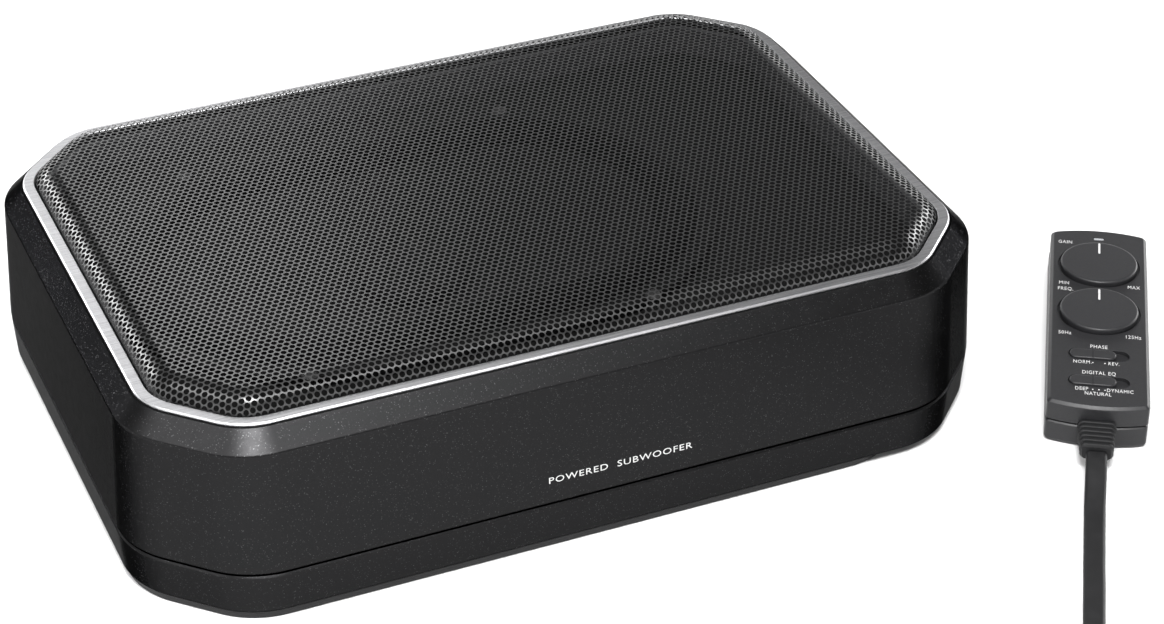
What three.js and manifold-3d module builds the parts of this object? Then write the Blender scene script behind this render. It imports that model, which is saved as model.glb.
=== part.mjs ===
// Powered car subwoofer with a wired remote control. Millimetres, +Z up, front face towards -Y.
import * as THREE from 'three';
import { mergeVertices } from 'three/addons/utils/BufferGeometryUtils.js';
import Module from 'manifold-3d';

const wasm = await Module();
wasm.setup();

// ---------------------------------------------------------------- driving dimensions
const CLEARANCE = 0.3;              // between pieces that touch
const CUT_EXTRA = 1;                // how far a cutting tool runs past the surface it cuts

// Cabinet
const BODY_LENGTH = 280;
const BODY_DEPTH = 200;
const CORNER_LEG = 28;              // chamfer across each corner, along X and along Y
const CORNER_RADIUS = 22;
const CORNER_STEPS = 3;
const MIN_CORNER_LEG = 8;
const BASE_PLATE_HEIGHT = 2.7;
const BASE_PLATE_INSET = 2.4;
const BASE_RIGHT_LEG = 44;
const PARTING_Z = 17;
const PARTING_GAP = 0.7;
const SHOULDER_Z = 57.5;
const SHOULDER_INSET = 2;
const RIM_Z = 63.8;
const RIM_INSET = 8.3;
const WALL = 3.2;
const FLOOR_THICKNESS = 2.5;
const BAFFLE_TOP_Z = 52;
const BAFFLE_THICKNESS = 3;
const LEDGE_Z = 62.2;               // seat of the trim ring and of the mesh edge
const POCKET_INSET = 13.2;
const RIM_HOLLOW_TOP_Z = 58.5;
const RIM_HOLLOW_WIDTH = 5.4;
const HOUSING_POST = { x: BODY_LENGTH / 2 - 37, y: BODY_DEPTH / 2 - 22, radius: 5.2 };
const FOOT = { x: BODY_LENGTH / 2 - 56, y: BODY_DEPTH / 2 - 16, radius: 7, recess: 1.5 };

// Grille
const RING_WIDTH = 3.6;
const RING_HEIGHT = 1.9;
const MESH_THICKNESS = 1;
const MESH_TOP_Z = 70;
const MESH_SHOULDER_Z = 68.9;
const MESH_EDGE_WIDTH = 8.6;        // how far in the pillow edge reaches
const FRAME_THICKNESS = 2;

// Woofer
const SPEAKER_X = -24;
const CONE = { halfX: 82, halfY: 48, topZ: 54.4, neckZ: 38, neckRadius: 14.4, thickness: 1 };
const SURROUND_ROLL = 9;
const SURROUND_LAND = 2;
const FLANGE = { halfX: 99, halfY: 66, thickness: 1.6 };
const GASKET_THICKNESS = 1.2;
const BOWL_TOP = { halfX: 90, halfY: 57 };
const BASKET_SHEET = 1.5;
const BASKET_FLOOR_Z = 28.3;
const POLE_RADIUS = 12.3;
const FORMER = { inner: 13, outer: 13.4, bottomZ: 17.6, topZ: 40 };
const VOICE_COIL = { outer: 14.6, bottomZ: 20.4, topZ: 30.4 };
const SPIDER = { outer: 34.5, z: 34, thickness: 0.7, land: 2.5, wave: 0.9 };
const MAGNET = { inner: 22.5, outer: 45, height: 11 };
const TOP_PLATE = { inner: 15.2, outer: 43, thickness: 5.4 };
const YOKE_THICKNESS = 5;
const DUST_CAP = { radius: 17, height: 7 };
const SPEAKER_SCREW = { x: 55, y: 62.4, headRadius: 2.6, radius: 1.6, length: 9 };

// Amplifier
const BOARD = { x: BODY_LENGTH / 2 - 42, lengthX: 56, lengthY: 128, bottomZ: 18.4, thickness: 1.6 };
const BOARD_SCREW_Y = 56;
const SOCKET_DEPTH = 20;
const SOCKET_FRONT_X = BODY_LENGTH / 2 - 1.6;
const POWER_SOCKET = { y: -34, width: 30, height: 13 };
const REMOTE_JACK = { y: 4, width: 14, height: 13 };
const LINE_INPUTS = { y: 36, width: 28, height: 13, pitch: 14 };

// Remote control, in its own frame: X across, Y along, away from the cord, Z up
const REMOTE = { x: 158, y: -119, turn: -31.6 };
const REMOTE_WIDTH = 32;
const REMOTE_LENGTH = 107.5;
const REMOTE_END_ARCH = 2.7;
const REMOTE_CORNER_RADIUS = 1.8;
const REMOTE_BACK_Z = 7.8;
const REMOTE_FACE_Z = 15.5;
const REMOTE_WALL = 1.8;
const KNOB_RADIUS = 12.7;
const KNOB = {
  radius: KNOB_RADIUS, recessRadius: KNOB_RADIUS + 0.85, height: 2.4, recessDepth: 1.1, shaftRadius: 3,
};
const KNOB_LINE = { length: 6.6, width: 0.7, depth: 0.3 };
const GAIN_Y = 84.1;
const FREQ_Y = 55.2;
const SLIDER = { length: 14.8, width: 5, height: 1.5, slotLength: 19.4, slotWidth: 6, slotDepth: 1.3 };
const PHASE_Y = 29.9;
const EQ_Y = 14.7;
const LENS = { y: 101.2, length: 3.4, width: 1.1 };
const REMOTE_BOARD_Z = 5.8;
const REMOTE_BOARD_THICKNESS = 1.2;
const POT = { size: 12, height: 3.2 };
const SWITCH = { length: 10, width: 5, height: 3.4 };
const REMOTE_SCREW_Y = [22.3, 69.65];
const RELIEF = { length: 13.5, startWidth: 12.2, endWidth: 10.4, thickness: 6.4, ribs: 6 };
const RELIEF_Z = 7.8;

// Cord
const CORD = { width: 6.6, thickness: 2.5 };
const COIL = { x: 119.4, y: -290.4, inner: 29.3, outer: 58.2, bottomZ: 1.5, topZ: 15.3 };
const TIE = { width: 8, thickness: 0.8, angle: 200, slack: 0.6 };
const LEAD_ROUTE = [
  [150.4, -131.3, 7.8], [148.2, -134.9, 7.4], [145.8, -138.8, 6], [142.9, -143.5, 4.2], [139.8, -148.5, 2.8],
  [136.5, -154, 2], [132.9, -159.8, 1.7], [129.1, -166, 1.7], [125.1, -172.4, 1.7], [121.1, -179, 1.7],
  [116.9, -185.8, 1.7], [112.7, -192.6, 1.7], [108, -200.3, 1.7], [103.3, -208, 1.7], [98.6, -215.6, 1.7],
  [93.8, -223.3, 1.7], [88.9, -231.4, 1.9], [83.9, -239.5, 2.5],
];
const TAIL_ROUTE = [
  [170.3, -327.9, 8.4], [175.2, -325.4, 6.8], [180.2, -323, 5.3], [185.2, -320.7, 4.3], [190.2, -318.6, 3.8],
  [195.2, -316.7, 3.6],
];
const PLUG = { x: 195.6, y: -316.55, turn: -69.2, width: 9.7, height: 6.6, length: 12.6, bottomZ: 0.3 };

// ---------------------------------------------------------------- colours and finishes
const FINISHES = {
  body_paint: { color: 0x242528, roughness: 0.5, metalness: 0.35 },
  base_paint: { color: 0x121214, roughness: 0.6, metalness: 0.1 },
  brushed_metal: { color: 0xb9bbbd, roughness: 0.3, metalness: 1 },
  mesh_paint: { color: 0x141416, roughness: 0.45, metalness: 0.4 },
  black_plastic: { color: 0x1a1b1d, roughness: 0.55, metalness: 0 },
  rubber: { color: 0x0e0e0f, roughness: 0.85, metalness: 0 },
  steel: { color: 0x8f9194, roughness: 0.35, metalness: 1 },
  ferrite: { color: 0x2c2b2b, roughness: 0.7, metalness: 0.2 },
  paper: { color: 0x1c1b1b, roughness: 0.9, metalness: 0 },
  kapton: { color: 0x8a5a22, roughness: 0.5, metalness: 0 },
  copper: { color: 0xb06a35, roughness: 0.35, metalness: 1 },
  spider_cloth: { color: 0xb89a5c, roughness: 0.9, metalness: 0 },
  board: { color: 0x1d4a2b, roughness: 0.5, metalness: 0 },
  aluminium: { color: 0xa5a7aa, roughness: 0.4, metalness: 1 },
  capacitor_sleeve: { color: 0x20242c, roughness: 0.4, metalness: 0 },
  remote_plastic: { color: 0x2d2e31, roughness: 0.45, metalness: 0.1 },
  lens: { color: 0x8d9096, roughness: 0.15, metalness: 0 },
  cord_jacket: { color: 0x151516, roughness: 0.6, metalness: 0 },
  clear_plastic: { color: 0xc8ccd0, roughness: 0.1, metalness: 0 },
};

const assembly = new THREE.Group();

function place(parent, name, geometry, finish) {
  const mesh = new THREE.Mesh(geometry, new THREE.MeshStandardMaterial(FINISHES[finish]));
  mesh.name = name;
  parent.add(mesh);
  return mesh;
}

// ---------------------------------------------------------------- solids
function toManifold(geometry) {
  const plain = geometry.clone();
  plain.deleteAttribute('normal');
  plain.deleteAttribute('uv');
  const merged = mergeVertices(plain, 1e-4);
  const vertProperties = new Float32Array(merged.attributes.position.array);
  const triVerts = new Uint32Array(merged.index.array);
  return new wasm.Manifold(new wasm.Mesh({ numProp: 3, vertProperties, triVerts }));
}

function toGeometry(manifold) {
  const mesh = manifold.getMesh();
  const geometry = new THREE.BufferGeometry();
  geometry.setAttribute('position', new THREE.BufferAttribute(new Float32Array(mesh.vertProperties), 3));
  geometry.setIndex(new THREE.BufferAttribute(new Uint32Array(mesh.triVerts), 1));
  geometry.computeVertexNormals();
  return geometry;
}

function join(...geometries) {
  return toGeometry(geometries.map(toManifold).reduce((sum, next) => sum.add(next)));
}

function cut(geometry, ...tools) {
  return toGeometry(tools.map(toManifold).reduce((rest, tool) => rest.subtract(tool), toManifold(geometry)));
}

function box(x0, x1, y0, y1, z0, z1) {
  const geometry = new THREE.BoxGeometry(x1 - x0, y1 - y0, z1 - z0);
  return geometry.translate((x0 + x1) / 2, (y0 + y1) / 2, (z0 + z1) / 2);
}

function cylinder(x, y, z0, z1, radius, segments = 20) {
  const geometry = new THREE.CylinderGeometry(radius, radius, z1 - z0, segments);
  return geometry.rotateX(Math.PI / 2).translate(x, y, (z0 + z1) / 2);
}

// Turns the faces of a closed geometry outwards where its profile ran the other way.
function facingOut(geometry) {
  const { position } = geometry.attributes;
  const { index } = geometry;
  const corner = [new THREE.Vector3(), new THREE.Vector3(), new THREE.Vector3()];
  let volume = 0;
  for (let i = 0; i < index.count; i += 3) {
    corner.forEach((point, k) => point.fromBufferAttribute(position, index.getX(i + k)));
    volume += corner[0].dot(corner[1].clone().cross(corner[2]));
  }
  if (volume < 0) {
    index.array.reverse();
  }
  return geometry;
}

// A turned piece about a vertical axis. The profile is [radius, z] and starts and ends on the axis, or closes.
function turned(profile, segments = 28) {
  const points = profile.map(([radius, z]) => new THREE.Vector2(radius, z));
  return facingOut(new THREE.LatheGeometry(points, segments).rotateX(Math.PI / 2));
}

function tube(inner, outer, z0, z1, segments = 28) {
  return turned([[inner, z0], [outer, z0], [outer, z1], [inner, z1], [inner, z0]], segments);
}

// ---------------------------------------------------------------- outlines
function roundedPolygon(corners, radius, steps) {
  const points = [];
  corners.forEach((corner, index) => {
    const back = corners.at(index - 1).clone().sub(corner).normalize();
    const ahead = corners[(index + 1) % corners.length].clone().sub(corner).normalize();
    const halfAngle = Math.acos(THREE.MathUtils.clamp(back.dot(ahead), -1, 1)) / 2;
    const reach = radius / Math.tan(halfAngle);
    const centre = back.clone().add(ahead).normalize().multiplyScalar(radius / Math.sin(halfAngle)).add(corner);
    const first = corner.clone().addScaledVector(back, reach).sub(centre).angle();
    const turn = Math.PI - 2 * halfAngle;
    for (let step = 0; step <= steps; step += 1) {
      const angle = first + (turn * step) / steps;
      points.push(new THREE.Vector2(centre.x + radius * Math.cos(angle), centre.y + radius * Math.sin(angle)));
    }
  });
  return points;
}

function polygon(pairs) {
  return pairs.map(([x, y]) => new THREE.Vector2(x, y));
}

// The cabinet's outline, moved inwards by the inset.
function bodyOutline(inset) {
  const x = BODY_LENGTH / 2 - inset;
  const y = BODY_DEPTH / 2 - inset;
  const leg = Math.max(CORNER_LEG - inset * (2 - Math.SQRT2), MIN_CORNER_LEG);
  const corners = polygon([
    [x, leg - y], [x, y - leg], [x - leg, y], [leg - x, y],
    [-x, y - leg], [-x, leg - y], [leg - x, -y], [x - leg, -y],
  ]);
  return roundedPolygon(corners, Math.max(CORNER_RADIUS - inset, MIN_CORNER_LEG / 2), CORNER_STEPS);
}

function roundedRectangle(halfX, halfY, radius, steps = 6) {
  const corners = polygon([[halfX, -halfY], [halfX, halfY], [-halfX, halfY], [-halfX, -halfY]]);
  return roundedPolygon(corners, radius, steps);
}

function racetrack(halfX, halfY) {
  return roundedRectangle(halfX, halfY, halfY - 0.1);
}

// Skins a stack of outlines with equal point counts, given as [points, z] from the bottom up, and closes it.
function loft(sections) {
  const count = sections[0][0].length;
  const positions = sections.flatMap(([points, z]) => points.flatMap((point) => [point.x, point.y, z]));
  const index = [];
  for (let level = 0; level < sections.length - 1; level += 1) {
    for (let i = 0; i < count; i += 1) {
      const a = level * count + i;
      const b = level * count + ((i + 1) % count);
      index.push(a, b, b + count, a, b + count, a + count);
    }
  }
  const bottom = THREE.ShapeUtils.triangulateShape(sections[0][0], []);
  const top = THREE.ShapeUtils.triangulateShape(sections.at(-1)[0], []);
  const lift = (sections.length - 1) * count;
  bottom.forEach(([a, b, c]) => index.push(a, c, b));
  top.forEach(([a, b, c]) => index.push(a + lift, b + lift, c + lift));
  const geometry = new THREE.BufferGeometry();
  geometry.setAttribute('position', new THREE.Float32BufferAttribute(positions, 3));
  geometry.setIndex(index);
  return geometry;
}

// Carries a closed [inset, z] profile round a family of outlines.
function sweepRing(outlineAt, profile) {
  const rings = profile.map(([inset, z]) => [outlineAt(inset), z]);
  const count = rings[0][0].length;
  const positions = rings.flatMap(([points, z]) => points.flatMap((point) => [point.x, point.y, z]));
  const index = [];
  rings.forEach((_, level) => {
    const next = (level + 1) % rings.length;
    for (let i = 0; i < count; i += 1) {
      const a = level * count + i;
      const b = level * count + ((i + 1) % count);
      const c = next * count + ((i + 1) % count);
      const d = next * count + i;
      index.push(a, b, c, a, c, d);
    }
  });
  const geometry = new THREE.BufferGeometry();
  geometry.setAttribute('position', new THREE.Float32BufferAttribute(positions, 3));
  geometry.setIndex(index);
  return facingOut(geometry);
}

function bodyLoft(levels) {
  return loft(levels.map(([inset, z]) => [bodyOutline(inset), z]));
}

function slab(points, z0, z1) {
  return loft([[points, z0], [points, z1]]);
}

function movedOutline(points, x, y) {
  return points.map((point) => new THREE.Vector2(point.x + x, point.y + y));
}

const fourCorners = (x, y) => [[x, y], [-x, y], [-x, -y], [x, -y]];
const boardScrewPlaces = () => [[BOARD.x, BOARD_SCREW_Y], [BOARD.x, -BOARD_SCREW_Y]];

// ---------------------------------------------------------------- cabinet
const LOWER_BOTTOM_Z = BASE_PLATE_HEIGHT + CLEARANCE;
const LOWER_FLOOR_Z = LOWER_BOTTOM_Z + FLOOR_THICKNESS;
const LOWER_TOP_Z = PARTING_Z - PARTING_GAP / 2;
const UPPER_BOTTOM_Z = PARTING_Z + PARTING_GAP / 2;
const BAFFLE_BOTTOM_Z = BAFFLE_TOP_Z - BAFFLE_THICKNESS;
const BOARD_TOP_Z = BOARD.bottomZ + BOARD.thickness + CLEARANCE;
const BOARD_SCREW = { radius: 1.4, headRadius: 2.7, length: 8 };
const SPEAKER_HOLE = { halfX: BOWL_TOP.halfX + 1.5, halfY: BOWL_TOP.halfY + 1.5 };
const HOUSING_SCREW = { radius: 1.6, headRadius: 3, headHeight: 1.4, recess: 1.7, length: 30 };

function upperHousing() {
  const shell = bodyLoft([
    [0.6, UPPER_BOTTOM_Z], [0.1, UPPER_BOTTOM_Z + 0.6], [SHOULDER_INSET, SHOULDER_Z - 0.5],
    [SHOULDER_INSET + 0.5, SHOULDER_Z + 0.5], [RIM_INSET - 0.3, RIM_Z - 0.2], [RIM_INSET, RIM_Z],
    [RIM_INSET + 0.4, RIM_Z],
  ]);
  const cavity = bodyLoft([[WALL, UPPER_BOTTOM_Z - CUT_EXTRA], [WALL + SHOULDER_INSET, BAFFLE_BOTTOM_Z]]);
  const ringSeat = bodyLoft([[RIM_INSET, LEDGE_Z], [RIM_INSET, RIM_Z + CUT_EXTRA]]);
  const pocket = bodyLoft([[POCKET_INSET, BAFFLE_TOP_Z], [POCKET_INSET, LEDGE_Z + CUT_EXTRA]]);
  const hollowStart = WALL + SHOULDER_INSET;
  const hollow = sweepRing(bodyOutline, [
    [hollowStart, BAFFLE_BOTTOM_Z - CUT_EXTRA], [hollowStart + RIM_HOLLOW_WIDTH, BAFFLE_BOTTOM_Z - CUT_EXTRA],
    [hollowStart + RIM_HOLLOW_WIDTH, RIM_HOLLOW_TOP_Z], [hollowStart + 1, RIM_HOLLOW_TOP_Z - 2],
  ]);
  const posts = fourCorners(HOUSING_POST.x, HOUSING_POST.y).map(([x, y]) => (
    cylinder(x, y, UPPER_BOTTOM_Z, BAFFLE_BOTTOM_Z + CUT_EXTRA, HOUSING_POST.radius)));
  const pilots = fourCorners(HOUSING_POST.x, HOUSING_POST.y).map(([x, y]) => (
    cylinder(x, y, UPPER_BOTTOM_Z - CUT_EXTRA, HOUSING_SCREW.length + 4, HOUSING_SCREW.radius + CLEARANCE, 16)));
  const opening = slab(movedOutline(racetrack(SPEAKER_HOLE.halfX, SPEAKER_HOLE.halfY), SPEAKER_X, 0),
    BAFFLE_BOTTOM_Z - CUT_EXTRA, BAFFLE_TOP_Z + CUT_EXTRA);
  const speakerPilots = fourCorners(SPEAKER_SCREW.x, SPEAKER_SCREW.y).map(([x, y]) => (
    cylinder(SPEAKER_X + x, y, BAFFLE_BOTTOM_Z - CUT_EXTRA, BAFFLE_TOP_Z + CUT_EXTRA,
      SPEAKER_SCREW.radius + CLEARANCE, 16)));
  const socketHoles = [POWER_SOCKET, REMOTE_JACK, LINE_INPUTS].map(({ y, width, height }) => (
    box(SOCKET_FRONT_X - 2 * WALL, BODY_LENGTH / 2 + CUT_EXTRA, y - width / 2 - CLEARANCE,
      y + width / 2 + CLEARANCE, BOARD_TOP_Z, BOARD_TOP_Z + height + 2 * CLEARANCE)));
  const hollowShell = cut(shell, cavity, ringSeat, pocket, hollow);
  return cut(join(hollowShell, ...posts), ...pilots, opening, ...speakerPilots, ...socketHoles);
}

function lowerHousing() {
  const shell = bodyLoft([
    [1.6, LOWER_BOTTOM_Z], [1, LOWER_BOTTOM_Z + 0.6], [0.2, LOWER_TOP_Z - 0.6], [0.7, LOWER_TOP_Z],
  ]);
  const cavity = bodyLoft([[WALL + 0.4, LOWER_FLOOR_Z], [WALL, LOWER_TOP_Z + CUT_EXTRA]]);
  const posts = fourCorners(HOUSING_POST.x, HOUSING_POST.y).map(([x, y]) => (
    cylinder(x, y, LOWER_FLOOR_Z - CUT_EXTRA, LOWER_TOP_Z, HOUSING_POST.radius)));
  const standoffs = boardScrewPlaces().map(([x, y]) => (
    cylinder(x, y, LOWER_FLOOR_Z - CUT_EXTRA, BOARD.bottomZ - CLEARANCE, 4)));
  const holes = fourCorners(HOUSING_POST.x, HOUSING_POST.y).map(([x, y]) => (
    cylinder(x, y, LOWER_BOTTOM_Z - CUT_EXTRA, LOWER_TOP_Z + CUT_EXTRA, HOUSING_SCREW.radius + CLEARANCE, 16)));
  const boardPilots = boardScrewPlaces().map(([x, y]) => (
    cylinder(x, y, BOARD.bottomZ - 9, BOARD.bottomZ + CUT_EXTRA, BOARD_SCREW.radius + CLEARANCE, 16)));
  return cut(join(cut(shell, cavity), ...posts, ...standoffs), ...holes, ...boardPilots);
}

function basePlate() {
  const x = BODY_LENGTH / 2 - BASE_PLATE_INSET;
  const y = BODY_DEPTH / 2 - BASE_PLATE_INSET;
  const left = CORNER_LEG - BASE_PLATE_INSET * (2 - Math.SQRT2);
  const right = BASE_RIGHT_LEG;
  const corners = polygon([
    [x, right - y], [x, y - right], [x - right, y], [left - x, y],
    [-x, y - left], [-x, left - y], [left - x, -y], [x - right, -y],
  ]);
  const outline = roundedPolygon(corners, CORNER_RADIUS - BASE_PLATE_INSET, CORNER_STEPS);
  const plate = slab(outline, 0, BASE_PLATE_HEIGHT);
  const recesses = fourCorners(FOOT.x, FOOT.y).map(([footX, footY]) => (
    cylinder(footX, footY, -CUT_EXTRA, FOOT.recess, FOOT.radius + CLEARANCE)));
  const screwHoles = fourCorners(HOUSING_POST.x, HOUSING_POST.y).flatMap(([screwX, screwY]) => [
    cylinder(screwX, screwY, -CUT_EXTRA, HOUSING_SCREW.recess, HOUSING_SCREW.headRadius + CLEARANCE),
    cylinder(screwX, screwY, 0, BASE_PLATE_HEIGHT + CUT_EXTRA, HOUSING_SCREW.radius + CLEARANCE, 16),
  ]);
  return cut(plate, ...recesses, ...screwHoles);
}

function grilleMesh() {
  const outerEdge = RIM_INSET + CLEARANCE + RING_WIDTH + CLEARANCE;
  const pillow = (offset) => {
    const levels = [[outerEdge + offset, LEDGE_Z + CLEARANCE - (offset ? CUT_EXTRA : 0)]];
    const rise = MESH_SHOULDER_Z - offset - LEDGE_Z - 1;
    for (let step = 0; step <= 4; step += 1) {
      const angle = (Math.PI / 2) * (step / 4);
      levels.push([
        outerEdge + offset + (MESH_EDGE_WIDTH - offset) * (1 - Math.cos(angle)),
        LEDGE_Z + 1 + rise * Math.sin(angle),
      ]);
    }
    levels.push([outerEdge + 24, (MESH_SHOULDER_Z + 2 * MESH_TOP_Z) / 3 - offset]);
    levels.push([outerEdge + 50, MESH_TOP_Z - offset]);
    return levels;
  };
  return cut(bodyLoft(pillow(0)), bodyLoft(pillow(MESH_THICKNESS)));
}

function trimRing() {
  const outer = RIM_INSET + CLEARANCE;
  const inner = outer + RING_WIDTH;
  const bottom = LEDGE_Z + CLEARANCE;
  const top = bottom + RING_HEIGHT;
  return sweepRing(bodyOutline, [
    [outer, bottom], [outer, top - 0.5], [outer + 0.4, top],
    [inner - 0.2, top], [inner, top - 0.2], [inner, bottom],
  ]);
}

function grilleFrame() {
  const outer = POCKET_INSET + CLEARANCE;
  const inner = outer + FRAME_THICKNESS;
  return sweepRing(bodyOutline, [
    [outer, BAFFLE_TOP_Z + CLEARANCE], [outer, LEDGE_Z - 0.2],
    [inner, LEDGE_Z - 0.2], [inner, BAFFLE_TOP_Z + CLEARANCE],
  ]);
}

function housingScrew(x, y) {
  const { radius, headRadius, headHeight, recess, length } = HOUSING_SCREW;
  const seat = recess - CLEARANCE;
  return turned([
    [0, seat - headHeight], [headRadius - 0.4, seat - headHeight], [headRadius, seat], [radius, seat],
    [radius, length - 1], [0, length],
  ], 10).translate(x, y, 0);
}

place(assembly, 'upper_housing', upperHousing(), 'body_paint');
place(assembly, 'lower_housing', lowerHousing(), 'body_paint');
place(assembly, 'base_plate', basePlate(), 'base_paint');
place(assembly, 'trim_ring', trimRing(), 'brushed_metal');
place(assembly, 'grille_mesh', grilleMesh(), 'mesh_paint');
place(assembly, 'grille_frame', grilleFrame(), 'black_plastic');
fourCorners(HOUSING_POST.x, HOUSING_POST.y).forEach(([x, y], i) => {
  place(assembly, `housing_screw_${i + 1}`, housingScrew(x, y), 'steel');
});
fourCorners(FOOT.x, FOOT.y).forEach(([x, y], i) => {
  place(assembly, `rubber_foot_${i + 1}`, cylinder(x, y, 0, FOOT.recess - 0.1, FOOT.radius), 'rubber');
});

// ---------------------------------------------------------------- woofer, about its own axis
const woofer = new THREE.Group();
woofer.position.set(SPEAKER_X, 0, 0);
assembly.add(woofer);

const FLANGE_BOTTOM_Z = BAFFLE_TOP_Z + 2 * CLEARANCE + GASKET_THICKNESS;
const FLANGE_TOP_Z = FLANGE_BOTTOM_Z + FLANGE.thickness;
const SURROUND_OUTER = SURROUND_ROLL + SURROUND_LAND;
const MAGNET_TOP_Z = BASKET_FLOOR_Z - CLEARANCE - TOP_PLATE.thickness - CLEARANCE;
const MAGNET_BOTTOM_Z = MAGNET_TOP_Z - MAGNET.height;
const YOKE_TOP_Z = MAGNET_BOTTOM_Z - CLEARANCE;

function speakerGasket() {
  const ring = slab(racetrack(FLANGE.halfX, FLANGE.halfY), BAFFLE_TOP_Z + CLEARANCE,
    BAFFLE_TOP_Z + CLEARANCE + GASKET_THICKNESS);
  const opening = slab(racetrack(SPEAKER_HOLE.halfX, SPEAKER_HOLE.halfY), BAFFLE_TOP_Z - CUT_EXTRA, FLANGE_TOP_Z);
  return cut(ring, opening, ...speakerScrewHoles());
}

function speakerScrewHoles() {
  return fourCorners(SPEAKER_SCREW.x, SPEAKER_SCREW.y).map(([x, y]) => (
    cylinder(x, y, BAFFLE_TOP_Z - CUT_EXTRA, FLANGE_TOP_Z + CUT_EXTRA, SPEAKER_SCREW.radius + CLEARANCE, 16)));
}

function basket() {
  const floorRadius = MAGNET.outer - 4;
  const middle = { halfX: 62, halfY: 46, z: 40 };
  const shoulder = { halfX: BOWL_TOP.halfX - 2, halfY: BOWL_TOP.halfY - 1.5, z: 48 };
  const bowlAt = (t, topZ) => [
    [racetrack(floorRadius - t, floorRadius - t), BASKET_FLOOR_Z + t],
    [racetrack(middle.halfX - t, middle.halfY - t), middle.z + t],
    [racetrack(shoulder.halfX - t, shoulder.halfY - t), shoulder.z + t],
    [racetrack(BOWL_TOP.halfX - t, BOWL_TOP.halfY - t), FLANGE_BOTTOM_Z],
    [racetrack(BOWL_TOP.halfX - t, BOWL_TOP.halfY - t), topZ],
  ];
  const flange = slab(racetrack(FLANGE.halfX, FLANGE.halfY), FLANGE_BOTTOM_Z, FLANGE_TOP_Z);
  const seatTop = SPIDER.z - SPIDER.thickness / 2 - CLEARANCE;
  const seatInner = SPIDER.outer - SPIDER.land + CLEARANCE;
  const spiderSeat = tube(seatInner, SPIDER.outer + 1.5, BASKET_FLOOR_Z + 0.5, seatTop);
  const windows = [MAGNET.outer - 4, -BOWL_TOP.halfY - 4].flatMap((y) => (
    [-36, 0, 36].map((x) => box(x - 9, x + 9, y, y + BOWL_TOP.halfY - MAGNET.outer + 8, 36, 47))));
  const throat = cylinder(0, 0, BASKET_FLOOR_Z - CUT_EXTRA, BASKET_FLOOR_Z + 4, SPIDER.outer - 6, 32);
  const outer = join(loft(bowlAt(0, FLANGE_TOP_Z)), flange);
  const bowl = cut(outer, loft(bowlAt(BASKET_SHEET, FLANGE_TOP_Z + CUT_EXTRA)));
  return cut(join(bowl, spiderSeat), throat, ...windows, ...speakerScrewHoles());
}

function yoke() {
  const radius = TOP_PLATE.outer - 1;
  const bottom = YOKE_TOP_Z - YOKE_THICKNESS;
  return turned([
    [0, bottom], [radius - 2, bottom], [radius, bottom + 2], [radius, YOKE_TOP_Z], [POLE_RADIUS, YOKE_TOP_Z],
    [POLE_RADIUS, BASKET_FLOOR_Z - 1], [POLE_RADIUS - 1, BASKET_FLOOR_Z], [0, BASKET_FLOOR_Z],
  ]);
}

function spider() {
  const inner = FORMER.outer + 0.2;
  const steps = 8;
  const { land } = SPIDER;
  const top = [];
  for (let step = 0; step <= steps; step += 1) {
    const radius = inner + land + ((SPIDER.outer - inner - 2 * land) * step) / steps;
    top.push([radius, SPIDER.z + SPIDER.wave * Math.sin((step / steps) * Math.PI * 4)]);
  }
  const middle = [[inner, SPIDER.z], ...top, [SPIDER.outer, SPIDER.z]];
  const upper = middle.map(([radius, z]) => [radius, z + SPIDER.thickness / 2]);
  const lower = middle.map(([radius, z]) => [radius, z - SPIDER.thickness / 2]).reverse();
  return turned([...upper, ...lower, upper[0]], 20);
}

function cone() {
  const levels = (lift, extra) => [
    [racetrack(CONE.neckRadius + extra, CONE.neckRadius + extra), CONE.neckZ + lift - extra * 2],
    [racetrack(19, 19), CONE.neckZ + 1.6 + lift],
    [racetrack(50, 34), CONE.neckZ + 8.5 + lift],
    [racetrack(CONE.halfX, CONE.halfY), CONE.topZ + lift],
  ];
  const body = loft([...levels(0, 0), [racetrack(CONE.halfX, CONE.halfY), CONE.topZ + CONE.thickness]]);
  const rim = racetrack(CONE.halfX, CONE.halfY);
  const hollow = loft([...levels(CONE.thickness, 0), [rim, CONE.topZ + CONE.thickness + CUT_EXTRA]]);
  const neck = cylinder(0, 0, CONE.neckZ - CUT_EXTRA, CONE.neckZ + 4, FORMER.outer + 0.2, 28);
  return cut(body, hollow, neck);
}

function surround() {
  const base = CONE.topZ + CONE.thickness + CLEARANCE;
  const thickness = 0.8;
  const outlineAt = (offset) => racetrack(CONE.halfX + offset, CONE.halfY + offset);
  const steps = 5;
  const roll = (radius, z) => Array.from({ length: steps + 1 }, (_, step) => {
    const angle = Math.PI * (1 - step / steps);
    return [SURROUND_ROLL / 2 + radius * Math.cos(angle), z + radius * Math.sin(angle)];
  });
  return sweepRing(outlineAt, [
    [-3, base], ...roll(SURROUND_ROLL / 2 - thickness, base), [SURROUND_OUTER, base],
    [SURROUND_OUTER, base + thickness], ...roll(SURROUND_ROLL / 2, base + thickness).reverse(),
    [-3, base + thickness],
  ]);
}

function dustCap() {
  const steps = 4;
  const shell = (radius, height, z) => Array.from({ length: steps + 1 }, (_, step) => {
    const angle = (Math.PI / 2) * (step / steps);
    return [radius * Math.cos(angle), z + height * Math.sin(angle)];
  });
  const z = CONE.neckZ + 1.6 + CONE.thickness + CLEARANCE;
  const outer = shell(DUST_CAP.radius, DUST_CAP.height, z);
  const inner = shell(DUST_CAP.radius - 0.8, DUST_CAP.height - 0.8, z).reverse();
  return turned([...outer, ...inner, outer[0]], 24);
}

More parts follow.
